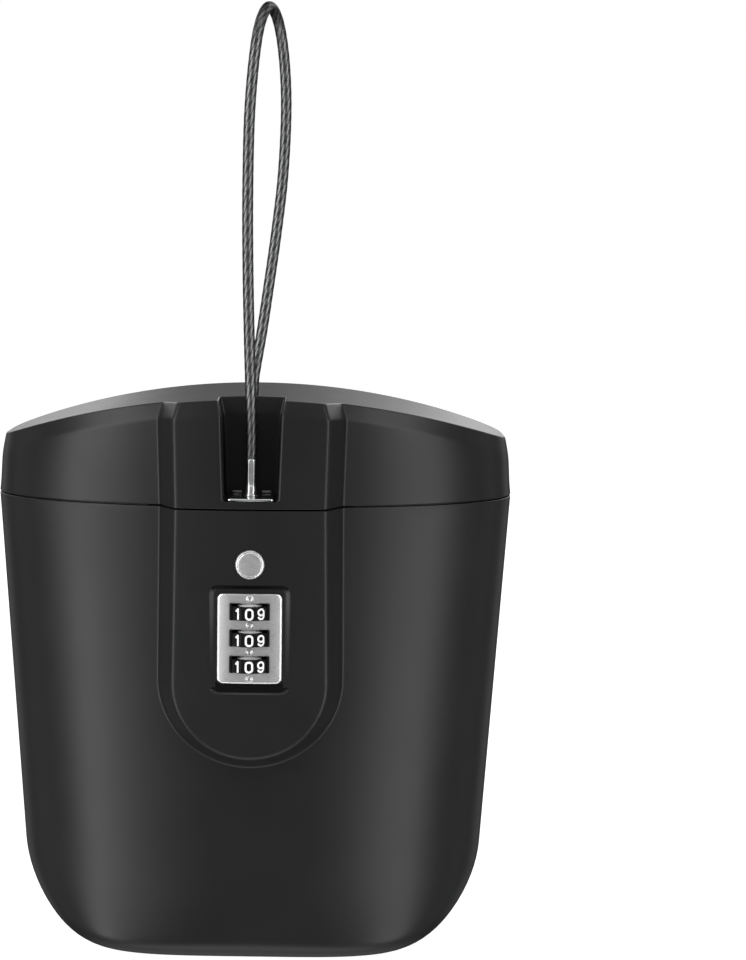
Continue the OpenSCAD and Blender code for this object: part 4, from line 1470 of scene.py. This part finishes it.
def arc2(cx, cy, rx, ry, a0, a1, n=14):
    return [(cx + rx * math.cos(rad(a0 + (a1 - a0) * i / n)),
             cy + ry * math.sin(rad(a0 + (a1 - a0) * i / n))) for i in range(n + 1)]


A, B = 1.16, 1.73       # half width and half height between the middles of the strokes
STROKES = {
    0: [arc2(A - 1, B - 1.05, 1, 1.05, 0, 90) + arc2(1 - A, B - 1.05, 1, 1.05, 90, 180)
        + arc2(1 - A, 1.05 - B, 1, 1.05, 180, 270) + arc2(A - 1, 1.05 - B, 1, 1.05, 270, 360)
        + [(A, B - 1.05)]],
    1: [[(-0.58, B - 0.72), (0.22, B), (0.22, -B)]],
    2: [arc2(0, B - 1.1, A - 0.04, 1.1, 172, -32) + [(-A + 0.04, -B), (A - 0.02, -B)]],
    3: [arc2(0, B - 0.86, A - 0.12, 0.86, 158, -90), arc2(0, 0.95 - B, A, 0.93, 90, -158)],
    4: [[(0.5, -B), (0.5, B), (-A, -0.72), (A, -0.72)]],
    5: [[(A - 0.1, B), (-A + 0.14, B), (-A + 0.06, 0.2)] + arc2(-0.02, 1.16 - B, A, 1.14, 128, -152)],
    6: [arc2(0, 1.08 - B, A, 1.06, 0, 360, 28),
        [(-A, 1.08 - B), (-A, B - 1.1)] + arc2(0, B - 1.1, A, 1.1, 180, 28)],
    7: [[(-A + 0.02, B), (A - 0.02, B), (-0.3, -B)]],
    8: [arc2(0, B - 0.84, A - 0.18, 0.84, 0, 360, 28), arc2(0, 0.93 - B, A, 0.93, 0, 360, 28)],
    9: [arc2(0, B - 1.08, A, 1.06, 0, 360, 28),
        [(A, B - 1.08), (A, 1.1 - B)] + arc2(0, 1.1 - B, A, 1.1, 0, -152)]}


def digit_cells(v, half, cell=0.12):
    """Flat cells that fill one numeral: the strokes, each half wide on either side."""
    nx, ny = int(math.ceil((A + half) / cell)) + 1, int(math.ceil((B + half) / cell)) + 1
    X, Y = np.meshgrid(np.arange(-nx, nx + 1) * cell, np.arange(-ny, ny + 1) * cell, indexing="ij")
    D = np.full(X.shape, 9.0)
    for path in STROKES[v]:
        for (x0, y0), (x1, y1) in zip(path, path[1:]):
            dx, dy = x1 - x0, y1 - y0
            t = np.clip(((X - x0) * dx + (Y - y0) * dy) / max(1e-9, dx * dx + dy * dy), 0, 1)
            D = np.minimum(D, np.hypot(X - x0 - t * dx, Y - y0 - t * dy))
    D = D - half
    D[np.abs(D) < 1e-3] = 1e-3
    pts, key, faces = [], {}, []

    def corner(i, j):
        if (i, j) not in key:
            key[(i, j)] = len(pts)
            pts.append((X[i, j], Y[i, j]))
        return key[(i, j)]

    def cut(p, q):
        k = (min(p, q), max(p, q))
        if k not in key:
            p, q = k
            f = min(0.97, max(0.03, D[p] / (D[p] - D[q])))
            key[k] = len(pts)
            pts.append((X[p] + (X[q] - X[p]) * f, Y[p] + (Y[q] - Y[p]) * f))
        return key[k]

    for i in range(2 * nx):
        for j in range(2 * ny):
            c = [(i, j), (i + 1, j), (i + 1, j + 1), (i, j + 1)]
            s = [D[k] < 0 for k in c]
            if not any(s):
                continue
            poly = []
            for k in range(4):
                if s[k]:
                    poly.append(corner(*c[k]))
                if s[k] != s[(k + 1) % 4]:
                    poly.append(cut(c[k], c[(k + 1) % 4]))
            faces.append(poly)
    return pts, faces


def make_digits(name, body_name, z, shown):
    b = Build()
    R0, R1 = 7.085, 6.95
    for v in range(10):
        pts, faces = digit_cells(v, 0.345)
        th = 270 - 36 * (v - shown)
        outer, inner = [], []
        for x, y in pts:
            for r, store in ((R0, outer), (R1, inner)):
                a = rad(th) + x / R0
                store.append(b.add([(r * math.cos(a), AX_Y + r * math.sin(a), z + y)])[0])
        edges = {}
        for f in faces:
            b.f.append(tuple(outer[i] for i in f))
            b.f.append(tuple(inner[i] for i in reversed(f)))
            for p, q in zip(f, f[1:] + f[:1]):
                if (q, p) in edges:
                    del edges[(q, p)]
                else:
                    edges[(p, q)] = 1
        for p, q in edges:
            b.f.append((outer[q], outer[p], inner[p], inner[q]))
    return place(b.object(name, DIGIT, 40), body_name)


for name, k in (("top", 1), ("middle", 0), ("bottom", -1)):
    z = DIAL_Z + k * PITCH
    make_dial("dial_drum_" + name, "dial_" + name, name + "_dial", z)
    make_digits("numerals_" + name, name + "_dial", z, 0)

# ------------------------------------------------------------------ cable bushing
bush = lathe("exit_bushing", HOUSING, rounded(
    [(2.05, 198.5), (4.4, 198.5), (4.4, 199.95), (2.88, 199.95), (2.88, 202.75), (2.45, 202.9),
     (2.05, 202.5)], [0, 0.2, 0.2, 0, 0.12, 0.1, 0.1], 3, True), (0, EXIT_Y, 0), "z", 64)
place(bush, "lid", "housing_plastic", "cable_bushing")


# ------------------------------------------------------------------ striker plate
def make_striker():
    b = Build()
    z0, z1 = CHAN_Z, CHAN_Z + 1.2
    outline = [(8.05 * t / 8, -58.7 + 0.7 * (t / 8) ** 2) for t in (-8, -5.8, -4.3, -2.8, -1.4, 0, 1.4, 2.8, 4.3, 5.8, 8)]
    outline += [(8.05, -37.4), (-8.05, -37.4)]
    base = rounded(outline, [0.9] + [0] * 9 + [0.9, 0.9, 0.9], 6, True)
    # more points along the sides
    n_in = offset_in([(x, y, 0) for x, y in base])
    rings = []
    for d, z in ((0.5, z0), (0.14, z0 + 0.32), (0.04, z0 + 0.42), (0, z0 + 0.54), (0, z0 + 0.76),
                 (0.05, z0 + 0.9), (0.2, z0 + 1.06), (0.66, z1 - 0.02), (0.74, z1)):
        rings.append(b.add([(p[0] + m[0] * d, p[1] + m[1] * d, z) for p, m in zip(base, n_in)]))
    for a, c in zip(rings, rings[1:]):
        b.band(a, c)
    h = []
    for r, z in ((2.45, z1), (2.25, z1 - 0.05), (2.12, z1 - 0.2), (2.1, z1 - 0.3), (2.1, z0)):
        h.append(b.add([(x, y, z) for x, y in circle(0, STUD_Y, r)]))
    for a, c in zip(h, h[1:]):
        b.band(a, c)
    b.fill(rings[-1], [h[0]])
    b.fill(rings[0], [h[-1]])
    return place(b.object("striker", CHROME), "lid", "chrome", "strike_plate")


make_striker()


def make_staples():
    """Two short round bars pressed into the back wall above the striker."""
    b = Build()
    for s in (-1, 1):
        rings = []
        for dx, r in ((-1.8, 0.0), (-1.8, 0.3), (-1.72, 0.4), (-1.6, 0.45), (1.6, 0.45),
                      (1.72, 0.4), (1.8, 0.3), (1.8, 0.0)):
            x = s * 5.35 + dx
            if r == 0:
                rings.append(b.add([(x, -37.5, CHAN_Z + 1.6)]))
            else:
                rings.append(b.add([(x, -37.5 + r * math.cos(rad(15 * k)),
                                     CHAN_Z + 1.6 + r * math.sin(rad(15 * k))) for k in range(24)]))
        for p, q in zip(rings, rings[1:]):
            if len(p) == 1:
                b.f += [(p[0], q[k], q[(k + 1) % 24]) for k in range(24)]
            elif len(q) == 1:
                b.f += [(p[k], q[0], p[(k + 1) % 24]) for k in range(24)]
            else:
                b.band(p, q)
    return place(b.object("wall_staples", STAPLE, 40), "lid")


make_staples()

# ------------------------------------------------------------------ carried-over CAD nodes
plain = {"hinge_pin": STEEL, "lock_case": HOUSING, "cam_top": HUB, "cam_middle": HUB,
         "cam_bottom": HUB, "locking_bar": STEEL, "bar_spring": STEEL, "release_slide": STEEL,
         "button_spring": STEEL, "detent_spring": STEEL, "socket_bush": STEEL,
         "lock_cover": INNER, "case_screws": STEEL, "cover_screws": STEEL}
for node, mat in plain.items():
    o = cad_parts[node]
    o.data.materials.clear()
    o.data.materials.append(mat)

# ------------------------------------------------------------------ floor
fl = Build()
fl.f.append(tuple(fl.add([(-6000, -6000, 0), (6000, -6000, 0), (6000, 6000, 0), (-6000, 6000, 0)])))
fm, nt, bs, tc = new_mat("floor_paper")
nt.links.new(tint(nt, spread(nt, noise(nt, tc, 3.0), 0, 1), (0.30, 0.30, 0.30), (0.31, 0.31, 0.31)),
             bs.inputs["Base Color"])
bs.inputs["Roughness"].default_value = 0.95
bs.inputs["Specular IOR Level"].default_value = 0.0
bs.inputs["Emission Color"].default_value = (1, 1, 1, 1)
bs.inputs["Emission Strength"].default_value = 0.97
floor = fl.object("floor", fm)
floor.visible_glossy = False
floor.visible_diffuse = False
floor.visible_shadow = False

# ------------------------------------------------------------------ light
world = bpy.data.worlds.new("studio")
scene.world = world
world.use_nodes = True
wn = world.node_tree
bg = wn.nodes["Background"]
lp = wn.nodes.new("ShaderNodeLightPath")
gen = wn.nodes.new("ShaderNodeTexCoord")
sep = wn.nodes.new("ShaderNodeSeparateXYZ")
wn.links.new(gen.outputs["Generated"], sep.inputs["Vector"])


def ramp(sock, at0, at1, v0, v1):
    m = wn.nodes.new("ShaderNodeMapRange")
    m.inputs["From Min"].default_value, m.inputs["From Max"].default_value = at0, at1
    m.inputs["To Min"].default_value, m.inputs["To Max"].default_value = v0, v1
    wn.links.new(sock, m.inputs["Value"])
    return m.outputs["Result"]


room = wn.nodes.new("ShaderNodeMath")        # grey room in front, pale table below
room.operation = "ADD"
wn.links.new(ramp(sep.outputs["Y"], -0.3, 0.6, 0.25, 0.02), room.inputs[0])
wn.links.new(ramp(sep.outputs["Z"], -0.62, -0.95, 0.0, 0.68), room.inputs[1])
mix = wn.nodes.new("ShaderNodeMix")
mix.data_type = "RGBA"
mix.inputs["B"].default_value = (1.0, 1.0, 1.0, 1)
wn.links.new(room.outputs[0], mix.inputs["A"])
wn.links.new(lp.outputs["Is Camera Ray"], mix.inputs["Factor"])
wn.links.new(mix.outputs["Result"], bg.inputs["Color"])
bg.inputs["Strength"].default_value = 1.0


def area(name, az, el, dist, size, power, target=(0, 0, 0.12), spread_deg=180, colour=(1, 1, 1)):
    """Softbox dist metres from the target, az degrees to the right of the front."""
    l = bpy.data.lights.new(name, "AREA")
    l.shape = "RECTANGLE"
    l.size, l.size_y = size
    l.energy = power
    l.color = colour
    l.spread = rad(spread_deg)
    o = bpy.data.objects.new(name, l)
    scene.collection.objects.link(o)
    a, e = rad(az), rad(el)
    d = Vector((math.sin(a) * math.cos(e), -math.cos(a) * math.cos(e), math.sin(e)))
    o.location = Vector(target) + d * dist
    o.rotation_mode = "QUATERNION"
    o.rotation_quaternion = (-d).to_track_quat("-Z", "Y")
    return o


for side, sg, upper, lower, behind in (("left", -1, (7.1, 7.8), (2.1, 6.7), (143, 5.9, 1.9)),
                                        ("right", 1, (5.5, 5.3), (3.5, 4.65), (149, 9.0, 2.3))):
    for k, az in ((0, 46), (1, 60)):
        area("strip_%s_%d_high" % (side, k), sg * az, 24, 1.6, (0.3, 1.3), upper[k])
        area("strip_%s_%d_low" % (side, k), sg * az, -16, 1.6, (0.3, 0.9), lower[k])
    area("side_" + side, sg * 105, 5, 1.6, (0.5, 2.2), 1.3)
    area("rim_" + side, sg * 140, 5, 1.6, (0.4, 2.2), 1.3)
    area("rear_" + side, sg * behind[0], 35, 1.6, (1.5, 0.9), behind[1])
    area("low_rear_" + side, sg * 158, 14, 1.8, (0.9, 0.5), behind[2])
area("front_left", -30, 5, 2.0, (0.45, 1.3), 1.7)
area("front_right", 30, 5, 2.0, (0.45, 1.3), 0.6)
area("rear", 180, 22, 1.8, (2.4, 0.6), 1.1)
area("top", 0, 79, 1.8, (1.6, 0.9), 5.4)
area("below", 0, -62, 1.6, (2.0, 0.6), 6.0)
